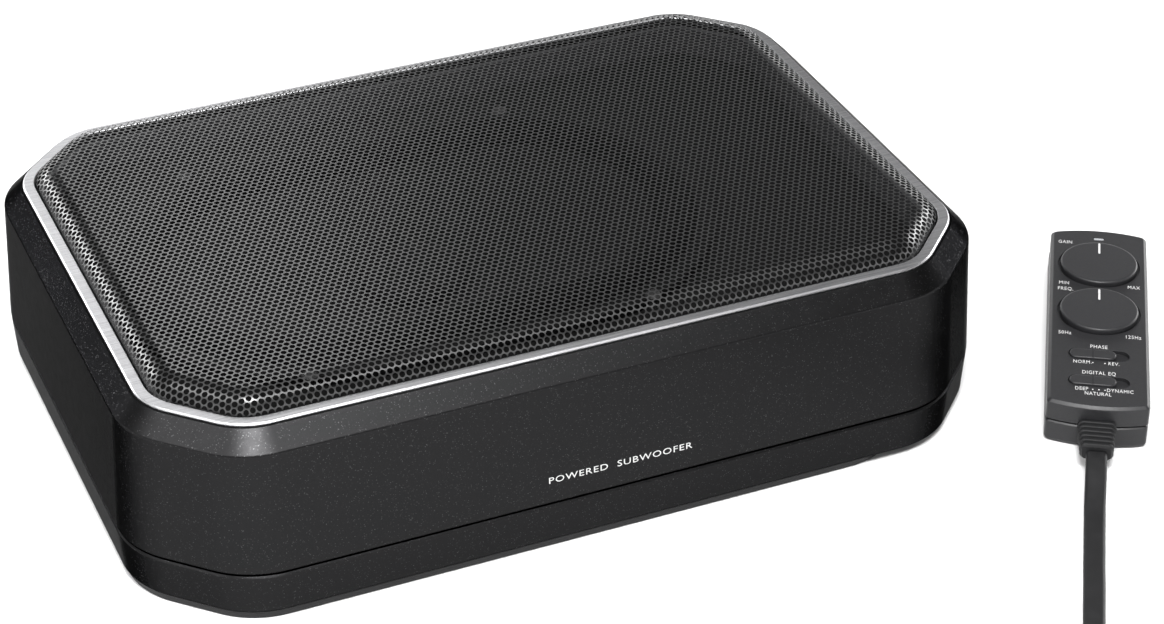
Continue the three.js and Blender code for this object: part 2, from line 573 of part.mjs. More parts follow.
function speakerScrew(x, y) {
  const seat = FLANGE_TOP_Z + CLEARANCE;
  const { radius, headRadius, length } = SPEAKER_SCREW;
  return turned([
    [0, seat - length], [radius, seat - length + 1], [radius, seat], [headRadius, seat], [headRadius, seat + 0.6],
    [headRadius * 0.6, seat + 1.5], [0, seat + 1.7],
  ], 10).translate(x, y, 0);
}

const MAGNET_TUBE = tube(MAGNET.inner, MAGNET.outer, MAGNET_BOTTOM_Z, MAGNET_TOP_Z);
const TOP_PLATE_TUBE = tube(TOP_PLATE.inner, TOP_PLATE.outer, MAGNET_TOP_Z + CLEARANCE,
  BASKET_FLOOR_Z - CLEARANCE);
const FORMER_TUBE = tube(FORMER.inner, FORMER.outer, FORMER.bottomZ, FORMER.topZ);
const COIL_TUBE = tube(FORMER.outer + 0.2, VOICE_COIL.outer, VOICE_COIL.bottomZ, VOICE_COIL.topZ);
place(woofer, 'speaker_gasket', speakerGasket(), 'rubber');
place(woofer, 'basket', basket(), 'base_paint');
place(woofer, 'yoke', yoke(), 'steel');
place(woofer, 'magnet', MAGNET_TUBE, 'ferrite');
place(woofer, 'top_plate', TOP_PLATE_TUBE, 'steel');
place(woofer, 'coil_former', FORMER_TUBE, 'kapton');
place(woofer, 'voice_coil', COIL_TUBE, 'copper');
place(woofer, 'spider', spider(), 'spider_cloth');
place(woofer, 'cone', cone(), 'paper');
place(woofer, 'surround', surround(), 'rubber');
place(woofer, 'dust_cap', dustCap(), 'paper');
fourCorners(SPEAKER_SCREW.x, SPEAKER_SCREW.y).forEach(([x, y], i) => {
  place(woofer, `speaker_screw_${i + 1}`, speakerScrew(x, y), 'steel');
});

// ---------------------------------------------------------------- amplifier
function amplifierBoard() {
  const top = BOARD.bottomZ + BOARD.thickness;
  const halfX = BOARD.lengthX / 2;
  const halfY = BOARD.lengthY / 2;
  const board = slab(movedOutline(roundedRectangle(halfX, halfY, 3, 3), BOARD.x, 0), BOARD.bottomZ, top);
  const holes = boardScrewPlaces().map(([x, y]) => (
    cylinder(x, y, BOARD.bottomZ - CUT_EXTRA, top + CUT_EXTRA, BOARD_SCREW.radius + CLEARANCE, 16)));
  return cut(board, ...holes);
}

function boardScrew(x, y) {
  const { radius, headRadius, length } = BOARD_SCREW;
  const seat = BOARD_TOP_Z;
  return turned([
    [0, seat - length], [radius, seat - length], [radius, seat], [headRadius, seat],
    [headRadius, seat + 1], [headRadius * 0.5, seat + 1.9], [0, seat + 2],
  ], 10).translate(x, y, 0);
}

function heatsink() {
  const left = BOARD.x - BOARD.lengthX / 2 + 2;
  const top = BAFFLE_BOTTOM_Z - 3;
  const plate = box(left, left + 3, -46, 46, BOARD_TOP_Z, top);
  const fins = Array.from({ length: 9 }, (_, i) => (
    box(left + 2, left + 13, -45 + i * 11, -43 + i * 11, BOARD_TOP_Z + 4, top)));
  return join(plate, ...fins);
}

function capacitor(x, y) {
  const radius = 8;
  const top = BOARD_TOP_Z + 24;
  return turned([
    [0, BOARD_TOP_Z], [radius, BOARD_TOP_Z], [radius, BOARD_TOP_Z + 3], [radius - 0.8, BOARD_TOP_Z + 3.8],
    [radius, BOARD_TOP_Z + 4.6], [radius, top - 1], [radius - 1, top], [0, top],
  ], 20).translate(x, y, 0);
}

function socketShell({ y, width, height }, pocket, pocketDepth) {
  const back = SOCKET_FRONT_X - SOCKET_DEPTH;
  const bottom = BOARD_TOP_Z + CLEARANCE;
  const middleZ = bottom + height / 2;
  const shell = box(back, SOCKET_FRONT_X, y - width / 2, y + width / 2, bottom, bottom + height);
  const cavity = box(SOCKET_FRONT_X - pocketDepth, SOCKET_FRONT_X + CUT_EXTRA, y - pocket.width / 2,
    y + pocket.width / 2, middleZ - pocket.height / 2, middleZ + pocket.height / 2);
  return { solid: cut(shell, cavity), middleZ, floorX: SOCKET_FRONT_X - pocketDepth };
}

function powerSocket() {
  const { solid, middleZ, floorX } = socketShell(POWER_SOCKET, { width: 25, height: 9 }, 14);
  const pin = (y, z) => box(floorX - 1, floorX + 9, y - 0.6, y + 0.6, z - 0.6, z + 0.6);
  const pins = [-9, -3, 3, 9].flatMap((y) => (
    [-2.2, 2.2].map((z) => pin(POWER_SOCKET.y + y, middleZ + z))));
  return join(solid, ...pins);
}

function remoteJack() {
  const { solid, middleZ, floorX } = socketShell(REMOTE_JACK, { width: 10.4, height: 7.4 }, 13);
  const { y } = REMOTE_JACK;
  const latch = box(floorX, SOCKET_FRONT_X + CUT_EXTRA, y - 1.8, y + 1.8, middleZ, middleZ + 5.2);
  return cut(solid, latch);
}

function lineInputs() {
  const { y, width, height, pitch } = LINE_INPUTS;
  const back = SOCKET_FRONT_X - SOCKET_DEPTH;
  const bottom = BOARD_TOP_Z + CLEARANCE;
  const middleZ = bottom + height / 2;
  const block = box(back, SOCKET_FRONT_X - 7, y - width / 2, y + width / 2, bottom, bottom + height);
  const across = (centreY, x0, x1, radius, segments) => (
    new THREE.CylinderGeometry(radius, radius, x1 - x0, segments).rotateZ(Math.PI / 2)
      .translate((x0 + x1) / 2, centreY, middleZ));
  const centres = [y - pitch / 2, y + pitch / 2];
  const barrels = centres.map((centreY) => across(centreY, back + 2, SOCKET_FRONT_X, 4.2, 24));
  const bores = centres.map((centreY) => across(centreY, back + 6, SOCKET_FRONT_X + CUT_EXTRA, 1.7, 16));
  return cut(join(block, ...barrels), ...bores);
}

function outputChoke() {
  const z = BOARD_TOP_Z + 5.2;
  return new THREE.TorusGeometry(9, 5, 8, 20).translate(BOARD.x + 8, -10, z);
}

place(assembly, 'amplifier_board', amplifierBoard(), 'board');
boardScrewPlaces().forEach(([x, y], i) => {
  place(assembly, `board_screw_${i + 1}`, boardScrew(x, y), 'steel');
});
place(assembly, 'heatsink', heatsink(), 'aluminium');
place(assembly, 'capacitor_1', capacitor(BOARD.x + 4, 22), 'capacitor_sleeve');
place(assembly, 'capacitor_2', capacitor(BOARD.x - 4, 42), 'capacitor_sleeve');
place(assembly, 'output_choke', outputChoke(), 'copper');
place(assembly, 'power_socket', powerSocket(), 'black_plastic');
place(assembly, 'remote_jack', remoteJack(), 'black_plastic');
place(assembly, 'line_inputs', lineInputs(), 'black_plastic');

// ---------------------------------------------------------------- remote control
// The remote and its cord lie beside the cabinet's corner, whatever the cabinet's size.
const wired = new THREE.Group();
wired.position.set(BODY_LENGTH / 2 - 140, 100 - BODY_DEPTH / 2, 0);
assembly.add(wired);
const remote = new THREE.Group();
remote.position.set(REMOTE.x, REMOTE.y, 0);
remote.rotation.z = THREE.MathUtils.degToRad(REMOTE.turn);
wired.add(remote);

const REMOTE_COVER_Z = REMOTE_BACK_Z + CLEARANCE;
const RECESS_FLOOR_Z = REMOTE_FACE_Z - KNOB.recessDepth;
const COVER_UNDERSIDE_Z = REMOTE_FACE_Z - REMOTE_WALL - KNOB.recessDepth;
const REMOTE_BOARD_TOP_Z = REMOTE_BOARD_Z + REMOTE_BOARD_THICKNESS;
const REMOTE_SCREW = { radius: 1.1, headRadius: 2.1, recess: 1.6, length: 9 };
const REMOTE_POST_RADIUS = 2.6;
const RELIEF_NECK = { neckHalfWidth: 4, neckHalfHeight: 2.1 };

function remoteOutline(inset) {
  const halfWidth = REMOTE_WIDTH / 2;
  const archRadius = (halfWidth ** 2 + REMOTE_END_ARCH ** 2) / (2 * REMOTE_END_ARCH);
  const x = halfWidth - inset;
  const arch = (along) => archRadius - Math.sqrt(archRadius ** 2 - along ** 2);
  const steps = [-1, -0.6, -0.2, 0.2, 0.6, 1];
  const near = steps.map((share) => [share * x, inset + arch(share * x)]);
  const far = steps.map((share) => [-share * x, REMOTE_LENGTH - inset - arch(share * x)]);
  return roundedPolygon(polygon([...near, ...far]), Math.max(REMOTE_CORNER_RADIUS - inset / 2, 0.6), 1);
}

function remoteLoft(levels) {
  return loft(levels.map(([inset, z]) => [remoteOutline(inset), z]));
}

function slot(centreY, length, width, z0, z1) {
  return slab(movedOutline(roundedRectangle(length / 2, width / 2, width / 2 - 0.02, 6), 0, centreY), z0, z1);
}

function reliefNotch() {
  const { neckHalfWidth, neckHalfHeight } = RELIEF_NECK;
  return box(-neckHalfWidth - CLEARANCE, neckHalfWidth + CLEARANCE, -CUT_EXTRA, REMOTE_WALL + 4,
    RELIEF_Z - neckHalfHeight - CLEARANCE, RELIEF_Z + neckHalfHeight + CLEARANCE);
}

function remoteCover() {
  const shell = remoteLoft([
    [0.5, REMOTE_COVER_Z], [0, REMOTE_COVER_Z + 0.5], [0, REMOTE_FACE_Z - 1.1], [0.35, REMOTE_FACE_Z - 0.35],
    [1.1, REMOTE_FACE_Z],
  ]);
  const cavity = remoteLoft([[REMOTE_WALL, REMOTE_COVER_Z - CUT_EXTRA], [REMOTE_WALL + 0.4, COVER_UNDERSIDE_Z]]);
  const posts = REMOTE_SCREW_Y.map((y) => (
    cylinder(0, y, REMOTE_BOARD_Z + CLEARANCE, COVER_UNDERSIDE_Z + CUT_EXTRA, REMOTE_POST_RADIUS, 20)));
  const pilots = REMOTE_SCREW_Y.map((y) => (
    cylinder(0, y, 0, REMOTE_SCREW.length + CUT_EXTRA, REMOTE_SCREW.radius + CLEARANCE, 12)));
  const recesses = [GAIN_Y, FREQ_Y].map((y) => (
    cylinder(0, y, RECESS_FLOOR_Z, REMOTE_FACE_Z + CUT_EXTRA, KNOB.recessRadius, 28)));
  const shaftHoles = [GAIN_Y, FREQ_Y].map((y) => cylinder(0, y, 8, REMOTE_FACE_Z, KNOB.shaftRadius + 0.4, 24));
  const sliderSlots = [PHASE_Y, EQ_Y].flatMap((y) => [
    slot(y, SLIDER.slotLength, SLIDER.slotWidth, REMOTE_FACE_Z - SLIDER.slotDepth, REMOTE_FACE_Z + CUT_EXTRA),
    slot(y, SLIDER_STEM.length + SLIDER_TRAVEL + 1, SLIDER_STEM.width + 1, 8, REMOTE_FACE_Z),
  ]);
  const lensHole = slot(LENS.y, LENS.length + 0.4, LENS.width + 0.4, 8, REMOTE_FACE_Z + CUT_EXTRA);
  return cut(join(cut(shell, cavity), ...posts), ...pilots, ...recesses, ...shaftHoles, ...sliderSlots,
    lensHole, reliefNotch());
}

function remoteBack() {
  const shell = remoteLoft([[1.2, 0], [0.4, 0.4], [0, 1.2], [0, REMOTE_BACK_Z - 0.5], [0.5, REMOTE_BACK_Z]]);
  const cavity = remoteLoft([[REMOTE_WALL + 0.4, REMOTE_WALL], [REMOTE_WALL, REMOTE_BACK_Z + CUT_EXTRA]]);
  const posts = REMOTE_SCREW_Y.map((y) => (
    cylinder(0, y, REMOTE_WALL - CUT_EXTRA, REMOTE_BOARD_Z - CLEARANCE, REMOTE_POST_RADIUS + 1, 20)));
  const holes = REMOTE_SCREW_Y.flatMap((y) => [
    cylinder(0, y, -CUT_EXTRA, REMOTE_SCREW.recess, REMOTE_SCREW.headRadius + CLEARANCE, 20),
    cylinder(0, y, 0, REMOTE_BACK_Z, REMOTE_SCREW.radius + CLEARANCE, 12),
  ]);
  return cut(join(cut(shell, cavity), ...posts), ...holes, reliefNotch());
}

function remoteBoard() {
  const edge = REMOTE_WALL + 0.8;
  const outline = roundedRectangle(REMOTE_WIDTH / 2 - edge, REMOTE_LENGTH / 2 - REMOTE_END_ARCH - edge - 4, 2, 2);
  const board = slab(movedOutline(outline, 0, REMOTE_LENGTH / 2 + 2), REMOTE_BOARD_Z, REMOTE_BOARD_TOP_Z);
  const holes = REMOTE_SCREW_Y.map((y) => (
    cylinder(0, y, REMOTE_BOARD_Z - CUT_EXTRA, REMOTE_BOARD_TOP_Z + CUT_EXTRA,
      REMOTE_POST_RADIUS + CLEARANCE, 20)));
  return cut(board, ...holes);
}

const POT_BOTTOM_Z = REMOTE_BOARD_TOP_Z + CLEARANCE;
const KNOB_BOTTOM_Z = RECESS_FLOOR_Z + CLEARANCE;
const KNOB_TOP_Z = KNOB_BOTTOM_Z + KNOB.height;
const SLIDER_STEM = { length: 3, width: 1.6 };
const SLIDER_TRAVEL = 3.8;
const SLIDER_BOTTOM_Z = REMOTE_FACE_Z - SLIDER.slotDepth + CLEARANCE;
const SLIDER_REST_X = -SLIDER_TRAVEL / 2;

function knob(y) {
  const { radius, shaftRadius } = KNOB;
  const bottom = POT_BOTTOM_Z + POT.height + CLEARANCE;
  const body = turned([
    [0, bottom], [shaftRadius, bottom], [shaftRadius, KNOB_BOTTOM_Z], [radius - 0.3, KNOB_BOTTOM_Z],
    [radius, KNOB_BOTTOM_Z + 0.3], [radius, KNOB_TOP_Z - 0.7], [radius - 0.7, KNOB_TOP_Z], [0, KNOB_TOP_Z],
  ], 32);
  const outerEnd = radius - 0.9;
  const line = box(-KNOB_LINE.width / 2, KNOB_LINE.width / 2, outerEnd - KNOB_LINE.length, outerEnd,
    KNOB_TOP_Z - KNOB_LINE.depth, KNOB_TOP_Z + CUT_EXTRA);
  return cut(body, line).translate(0, y, 0);
}

function pot(y) {
  const half = POT.size / 2;
  const base = box(-half, half, y - half, y + half, POT_BOTTOM_Z, POT_BOTTOM_Z + POT.height - 0.8);
  return join(base, cylinder(0, y, POT_BOTTOM_Z + 1, POT_BOTTOM_Z + POT.height, half - 1, 28));
}

function slider(y) {
  const top = SLIDER_BOTTOM_Z + SLIDER.height;
  const half = SLIDER.width / 2;
  const cap = loft([[0, SLIDER_BOTTOM_Z], [0, top - 0.4], [0.4, top]].map(([inset, z]) => (
    [roundedRectangle(SLIDER.length / 2 - inset, half - inset, half - inset - 0.02, 6), z])));
  const stem = box(-SLIDER_STEM.length / 2, SLIDER_STEM.length / 2, -SLIDER_STEM.width / 2, SLIDER_STEM.width / 2,
    POT_BOTTOM_Z + SWITCH.height + CLEARANCE, SLIDER_BOTTOM_Z + 0.5);
  const groove = box(-0.25, 0.25, -half, half, top - 0.25, top + CUT_EXTRA);
  return cut(join(cap, stem), groove).translate(SLIDER_REST_X, y, 0);
}

function slideSwitch(y) {
  return box(-SWITCH.length / 2, SWITCH.length / 2, y - SWITCH.width / 2, y + SWITCH.width / 2,
    POT_BOTTOM_Z, POT_BOTTOM_Z + SWITCH.height);
}

function remoteScrew(y) {
  const { radius, headRadius, recess, length } = REMOTE_SCREW;
  const seat = recess - CLEARANCE;
  return turned([
    [0, 0.3], [headRadius - 0.3, 0.3], [headRadius, seat], [radius, seat], [radius, length - 0.6], [0, length],
  ], 12).translate(0, y, 0);
}

// A ribbed boot, lofted upwards and then laid down to run out of the near end.
function strainRelief() {
  const { length, startWidth, endWidth, thickness, ribs } = RELIEF;
  const section = (halfX, halfZ) => roundedRectangle(halfX, halfZ, Math.min(halfX, halfZ) * 0.7, 2);
  const sections = [];
  const pitch = length / ribs;
  for (let rib = 0; rib < ribs; rib += 1) {
    const share = rib / (ribs - 1);
    const halfX = THREE.MathUtils.lerp(startWidth, endWidth, share) / 2;
    const halfZ = (thickness - share) / 2;
    const z = rib * pitch;
    sections.push([section(halfX, halfZ), z], [section(halfX, halfZ), z + pitch * 0.55]);
    if (rib < ribs - 1) {
      sections.push([section(halfX - 1, halfZ - 0.7), z + pitch * 0.6]);
      sections.push([section(halfX - 1, halfZ - 0.7), z + pitch * 0.95]);
    }
  }
  sections.push([section(endWidth / 2 - 0.7, thickness / 2 - 1), length]);
  const boot = loft(sections);
  const neck = box(-RELIEF_NECK.neckHalfWidth, RELIEF_NECK.neckHalfWidth, -RELIEF_NECK.neckHalfHeight,
    RELIEF_NECK.neckHalfHeight, -REMOTE_WALL - 1.5, 0.5);
  return join(boot, neck).rotateX(Math.PI / 2).translate(0, -CLEARANCE, RELIEF_Z);
}

const LENS_BLOCK = slot(LENS.y, LENS.length, LENS.width, POT_BOTTOM_Z, REMOTE_FACE_Z + 0.05);
place(remote, 'remote_cover', remoteCover(), 'remote_plastic');
place(remote, 'remote_back', remoteBack(), 'remote_plastic');
place(remote, 'remote_board', remoteBoard(), 'board');
place(remote, 'gain_knob', knob(GAIN_Y), 'remote_plastic');
place(remote, 'freq_knob', knob(FREQ_Y), 'remote_plastic');
place(remote, 'gain_pot', pot(GAIN_Y), 'black_plastic');
place(remote, 'freq_pot', pot(FREQ_Y), 'black_plastic');
place(remote, 'phase_slider', slider(PHASE_Y), 'remote_plastic');
place(remote, 'eq_slider', slider(EQ_Y), 'remote_plastic');
place(remote, 'phase_switch', slideSwitch(PHASE_Y), 'black_plastic');
place(remote, 'eq_switch', slideSwitch(EQ_Y), 'black_plastic');
place(remote, 'power_lens', LENS_BLOCK, 'lens');
REMOTE_SCREW_Y.forEach((y, i) => {
  place(remote, `remote_screw_${i + 1}`, remoteScrew(y), 'steel');
});
place(remote, 'strain_relief', strainRelief(), 'rubber');

// ---------------------------------------------------------------- cord
function cordTube(route) {
  const path = new THREE.CatmullRomCurve3(route.map((point) => new THREE.Vector3(...point)));
  const edge = CORD.thickness / 2;
  const section = new THREE.Shape(roundedRectangle(edge, CORD.width / 2, edge - 0.05, 2));
  const steps = Math.round(path.getLength() / (2.2 * CORD.thickness));
  return new THREE.ExtrudeGeometry(section, { extrudePath: path, steps, bevelEnabled: false });
}

function coilTie() {
  const { inner, outer, bottomZ, topZ } = COIL;
  const gap = TIE.slack;
  const t = TIE.thickness;
  const half = TIE.width / 2;
  const strap = box(inner - gap - t, outer + gap + t, -half, half, bottomZ - gap - t, topZ + gap + t);
  const opening = box(inner - gap, outer + gap, -half - CUT_EXTRA, half + CUT_EXTRA, bottomZ - gap, topZ + gap);
  return cut(strap, opening).rotateZ(THREE.MathUtils.degToRad(TIE.angle)).translate(COIL.x, COIL.y, 0);
}

// A modular plug lying on the floor, its cord end at the origin before it is placed.
function modularPlug() {
  const { width, height, length, bottomZ } = PLUG;
  const body = box(-width / 2, width / 2, 0, length, bottomZ, bottomZ + height);
  const contacts = [-2.5, -1.5, -0.5, 0.5, 1.5, 2.5].map((x) => (
    box(x - 0.2, x + 0.2, length - 3, length + CUT_EXTRA, bottomZ + height - 1, bottomZ + height + CUT_EXTRA)));
  const latch = box(-1.6, 1.6, 3, length - 0.5, bottomZ + height - 0.2, bottomZ + height + 1.1);
  const turn = THREE.MathUtils.degToRad(PLUG.turn);
  return cut(join(body, latch), ...contacts).rotateZ(turn).translate(PLUG.x, PLUG.y, 0);
}

const COIL_RING = tube(COIL.inner, COIL.outer, COIL.bottomZ, COIL.topZ, 36).translate(COIL.x, COIL.y, 0);
place(wired, 'cord_lead', cordTube(LEAD_ROUTE), 'cord_jacket');
place(wired, 'cord_coil', COIL_RING, 'cord_jacket');
place(wired, 'cord_tail', cordTube(TAIL_ROUTE), 'cord_jacket');
place(wired, 'coil_tie', coilTie(), 'rubber');
place(wired, 'modular_plug', modularPlug(), 'clear_plastic');

export default assembly;
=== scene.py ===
"""Powered car subwoofer with a wired remote control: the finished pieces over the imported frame."""
import math

import bmesh
import bpy
import numpy as np
from bpy.props import FloatProperty, FloatVectorProperty, IntProperty, PointerProperty
from mathutils import Matrix, Vector


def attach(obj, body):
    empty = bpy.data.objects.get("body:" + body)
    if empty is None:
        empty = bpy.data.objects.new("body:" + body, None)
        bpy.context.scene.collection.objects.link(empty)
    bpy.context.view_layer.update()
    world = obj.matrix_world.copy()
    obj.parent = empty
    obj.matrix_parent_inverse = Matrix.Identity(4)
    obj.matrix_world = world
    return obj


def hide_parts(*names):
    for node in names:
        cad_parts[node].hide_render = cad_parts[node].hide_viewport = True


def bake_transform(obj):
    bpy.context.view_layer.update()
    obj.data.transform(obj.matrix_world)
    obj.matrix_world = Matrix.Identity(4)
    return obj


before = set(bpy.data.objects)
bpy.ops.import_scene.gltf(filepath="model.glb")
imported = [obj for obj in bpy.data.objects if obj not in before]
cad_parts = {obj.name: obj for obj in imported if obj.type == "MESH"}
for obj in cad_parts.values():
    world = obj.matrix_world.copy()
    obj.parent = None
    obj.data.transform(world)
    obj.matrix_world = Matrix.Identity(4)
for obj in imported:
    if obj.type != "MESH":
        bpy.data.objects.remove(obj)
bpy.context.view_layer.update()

bl_info = {
    "name": "Powered Subwoofer Maker",
    "version": (1, 0, 0),
    "blender": (4, 5, 0),
    "location": "3D View > Sidebar > Subwoofer",
    "description": "Builds a slim powered car subwoofer with its wired remote control, cord and studio",
    "category": "Object",
}

MM = 0.001

# The cabinet's outline, in millimetres, as the frame has it.
BODY_HALF = (140.0, 100.0)
CORNER_LEG = 28.0
CORNER_RADIUS = 29.0
BASE_RIGHT_LEG = 44.0
POCKET_INSET = 13.2
BAFFLE_Z = (49.0, 52.0)
SPEAKER_X = -24.0
SPEAKER_HOLE = (91.5, 58.5)
SCREW_HOLE = 1.9
POSTS = [(103.0, 78.0), (-103.0, 78.0), (-103.0, -78.0), (103.0, -78.0)]
FEET = [(84.0, 84.0), (-84.0, 84.0), (-84.0, -84.0), (84.0, -84.0)]
SOCKET_MOUTHS = [(-34.0, 30.0), (4.0, 14.0), (36.0, 28.0)]
SOCKET_Z = (20.3, 33.9)

# The remote control's own frame: X across, Y along and away from the cord.
REMOTE_PLACE = Matrix.Translation((0.158, -0.119, 0.0)) @ Matrix.Rotation(math.radians(-31.6), 4, "Z")
REMOTE_HALF_WIDTH = 16.0
REMOTE_LENGTH = 107.5
REMOTE_ARCH = 2.7
FACE_Z = 15.5
RECESS_Z = 14.4
RECESS_RADIUS = 13.55
GAIN_Y, FREQ_Y, PHASE_Y, EQ_Y, LENS_Y = 84.1, 55.2, 29.9, 14.7, 101.2
SLIDER_REST_X = -1.9

# The cord's way over the floor, in metres: from the boot, to the coil, and from the coil to the plug.
LEAD = [
    (0.1504, -0.1313, 0.0078), (0.1482, -0.1349, 0.0074), (0.1458, -0.1388, 0.0060), (0.1429, -0.1435, 0.0042),
    (0.1398, -0.1485, 0.0026), (0.1365, -0.1540, 0.0017), (0.1329, -0.1598, 0.00145), (0.1291, -0.1660, 0.00135),
    (0.1251, -0.1724, 0.00135), (0.1211, -0.1790, 0.00135), (0.1169, -0.1858, 0.00135), (0.1127, -0.1926, 0.00135),
    (0.1080, -0.2003, 0.0015), (0.1033, -0.2080, 0.0018), (0.0986, -0.2156, 0.0023), (0.0938, -0.2233, 0.0028),
    (0.0889, -0.2314, 0.0032), (0.0839, -0.2395, 0.0034), (0.0802, -0.2454, 0.00345), (0.0760, -0.2523, 0.00345),
]
TAIL = [
    (0.1554, -0.3355, 0.0098), (0.1629, -0.3314, 0.0090), (0.1703, -0.3279, 0.0079), (0.1752, -0.3254, 0.0067),
    (0.1802, -0.3230, 0.0055), (0.1852, -0.3207, 0.0045), (0.1902, -0.3186, 0.0038), (0.1952, -0.3167, 0.0036),
]
COIL_CENTRE = (0.1194, -0.2904)
TIE_TURN = 200.0
PLUG_PLACE = Matrix.Translation((0.1956, -0.31655, 0.0)) @ Matrix.Rotation(math.radians(-69.2), 4, "Z")


# ---------------------------------------------------------------- settings
class CabinetSettings(bpy.types.PropertyGroup):
    """Sizes of the cabinet and its grille."""

    edge_radius: FloatProperty(
        name="Edge radius", description="Rounding of the cabinet's shoulder", default=1.6 * MM, min=0.2 * MM,
        max=3 * MM, unit="LENGTH")
    arc_steps: IntProperty(
        name="Corner steps", description="Facets round each corner of the cabinet", default=20, min=3, max=32)
    hole_pitch: FloatProperty(
        name="Hole pitch", description="Spacing of the grille's holes", default=2.14 * MM, min=1.8 * MM,
        max=4 * MM, unit="LENGTH")
    hole_diameter: FloatProperty(
        name="Hole diameter", description="Diameter of the grille's holes", default=1.76 * MM, min=0.5 * MM,
        max=3 * MM, unit="LENGTH")
    sheet: FloatProperty(
        name="Grille sheet", description="Thickness of the grille's steel sheet", default=0.32 * MM, min=0.3 * MM,
        max=1 * MM, unit="LENGTH")


class CordSettings(bpy.types.PropertyGroup):
    """Sizes of the flat cord and its coil."""

    width: FloatProperty(name="Width", description="Width of the flat cord", default=6.6 * MM, unit="LENGTH")
    thickness: FloatProperty(
        name="Thickness", description="Thickness of the flat cord", default=2.5 * MM, unit="LENGTH")
    length: FloatProperty(name="Length", description="Whole length of the cord", default=6.0, unit="LENGTH")
    turn_pitch: FloatProperty(
        name="Turn pitch", description="Spacing of the coil's turns", default=2.53 * MM, unit="LENGTH")


class FinishSettings(bpy.types.PropertyGroup):
    """Colours of the finishes that show."""

    paint: FloatVectorProperty(
        name="Cabinet paint", description="Fine-sparkle satin paint", subtype="COLOR", size=3, min=0, max=1,
        default=(0.0195, 0.0195, 0.020))
    trim: FloatVectorProperty(
        name="Brushed trim", description="Brushed aluminium of the trim ring", subtype="COLOR", size=3, min=0,
        max=1, default=(0.39, 0.39, 0.40))
    mesh: FloatVectorProperty(
        name="Grille", description="Enamel on the grille", subtype="COLOR", size=3, min=0, max=1,
        default=(0.006, 0.006, 0.0063))
    remote: FloatVectorProperty(
        name="Remote case", description="Grained plastic of the remote control", subtype="COLOR", size=3, min=0,
        max=1, default=(0.013, 0.013, 0.0142))
    print: FloatVectorProperty(
        name="Lettering", description="Printed words and marks", subtype="COLOR", size=3, min=0, max=1,
        default=(0.50, 0.50, 0.50))
    cord: FloatVectorProperty(
        name="Cord", description="Jacket of the cord and its boot", subtype="COLOR", size=3, min=0, max=1,
        default=(0.006, 0.006, 0.0065))


# ---------------------------------------------------------------- materials
class Finish:
    """A node material: the plain numbers sit on the shader, and the textures are linked into it."""

    def __init__(self, name, colour, roughness, metallic=0.0, **sockets):
        self.material = bpy.data.materials.new(name)
        self.material.use_nodes = True
        self.tree = self.material.node_tree
        self.shader = self.tree.nodes["Principled BSDF"]
        self.colour = (*colour, 1.0)
        self.shader.inputs["Base Color"].default_value = self.colour
        self.shader.inputs["Roughness"].default_value = roughness
        self.shader.inputs["Metallic"].default_value = metallic
        for key, value in sockets.items():
            self.shader.inputs[key.replace("_", " ")].default_value = value
        self.place = self.tree.nodes.new("ShaderNodeTexCoord").outputs["Object"]
        self.normal = None

    def _stretched(self, stretch, turn):
        if stretch is None:
            return self.place
        mapping = self.tree.nodes.new("ShaderNodeMapping")
        mapping.inputs["Scale"].default_value = stretch
        mapping.inputs["Rotation"].default_value = (0.0, 0.0, turn)
        self.tree.links.new(self.place, mapping.inputs["Vector"])
        return mapping.outputs["Vector"]

    def noise(self, per_mm, detail=3.0, stretch=None, turn=0.0):
        node = self.tree.nodes.new("ShaderNodeTexNoise")
        node.inputs["Scale"].default_value = per_mm * 1000.0
        node.inputs["Detail"].default_value = detail
        self.tree.links.new(self._stretched(stretch, turn), node.inputs["Vector"])
        return node.outputs["Fac"]

    def cells(self, per_mm, output="Distance", feature="F1"):
        node = self.tree.nodes.new("ShaderNodeTexVoronoi")
        node.feature = feature
        node.inputs["Scale"].default_value = per_mm * 1000.0
        self.tree.links.new(self.place, node.inputs["Vector"])
        return node.outputs[output]

    def ramp(self, value, stops):
        node = self.tree.nodes.new("ShaderNodeValToRGB")
        elements = node.color_ramp.elements
        while len(elements) < len(stops):
            elements.new(0.5)
        for element, (position, colour) in zip(elements, stops):
            element.position = position
            element.color = (colour,) * 3 + (1.0,) if isinstance(colour, float) else (*colour, 1.0)
        self.tree.links.new(value, node.inputs["Fac"])
        return node.outputs["Color"]

    def paint(self, colours):
        self.tree.links.new(colours, self.shader.inputs["Base Color"])
        return self

    def shine(self, value, low, high):
        node = self.tree.nodes.new("ShaderNodeMapRange")
        node.inputs["To Min"].default_value = low
        node.inputs["To Max"].default_value = high
        self.tree.links.new(value, node.inputs["Value"])
        self.tree.links.new(node.outputs["Result"], self.shader.inputs["Roughness"])
        return self

    def bump(self, height, depth_mm, strength=1.0):
        node = self.tree.nodes.new("ShaderNodeBump")
        node.inputs["Strength"].default_value = strength
        node.inputs["Distance"].default_value = depth_mm * MM
        self.tree.links.new(height, node.inputs["Height"])
        if self.normal is not None:
            self.tree.links.new(self.normal, node.inputs["Normal"])
        self.normal = node.outputs["Normal"]
        self.tree.links.new(self.normal, self.shader.inputs["Normal"])
        return self

    def shades(self, value, dark, light):
        """Colour varying between a darker and a lighter share of the plain one."""
        base = self.colour[:3]
        stops = [(0.3, tuple(c * dark for c in base)), (0.7, tuple(min(c * light, 1.0) for c in base))]
        return self.paint(self.ramp(value, stops))


FINISHES = {}


def finish(name):
    """The named finish, made the first time that it is asked for."""
    if name not in FINISHES:
        FINISHES[name] = MAKERS[name]().material
    return FINISHES[name]


def colours():
    return bpy.context.scene.subwoofer_finishes


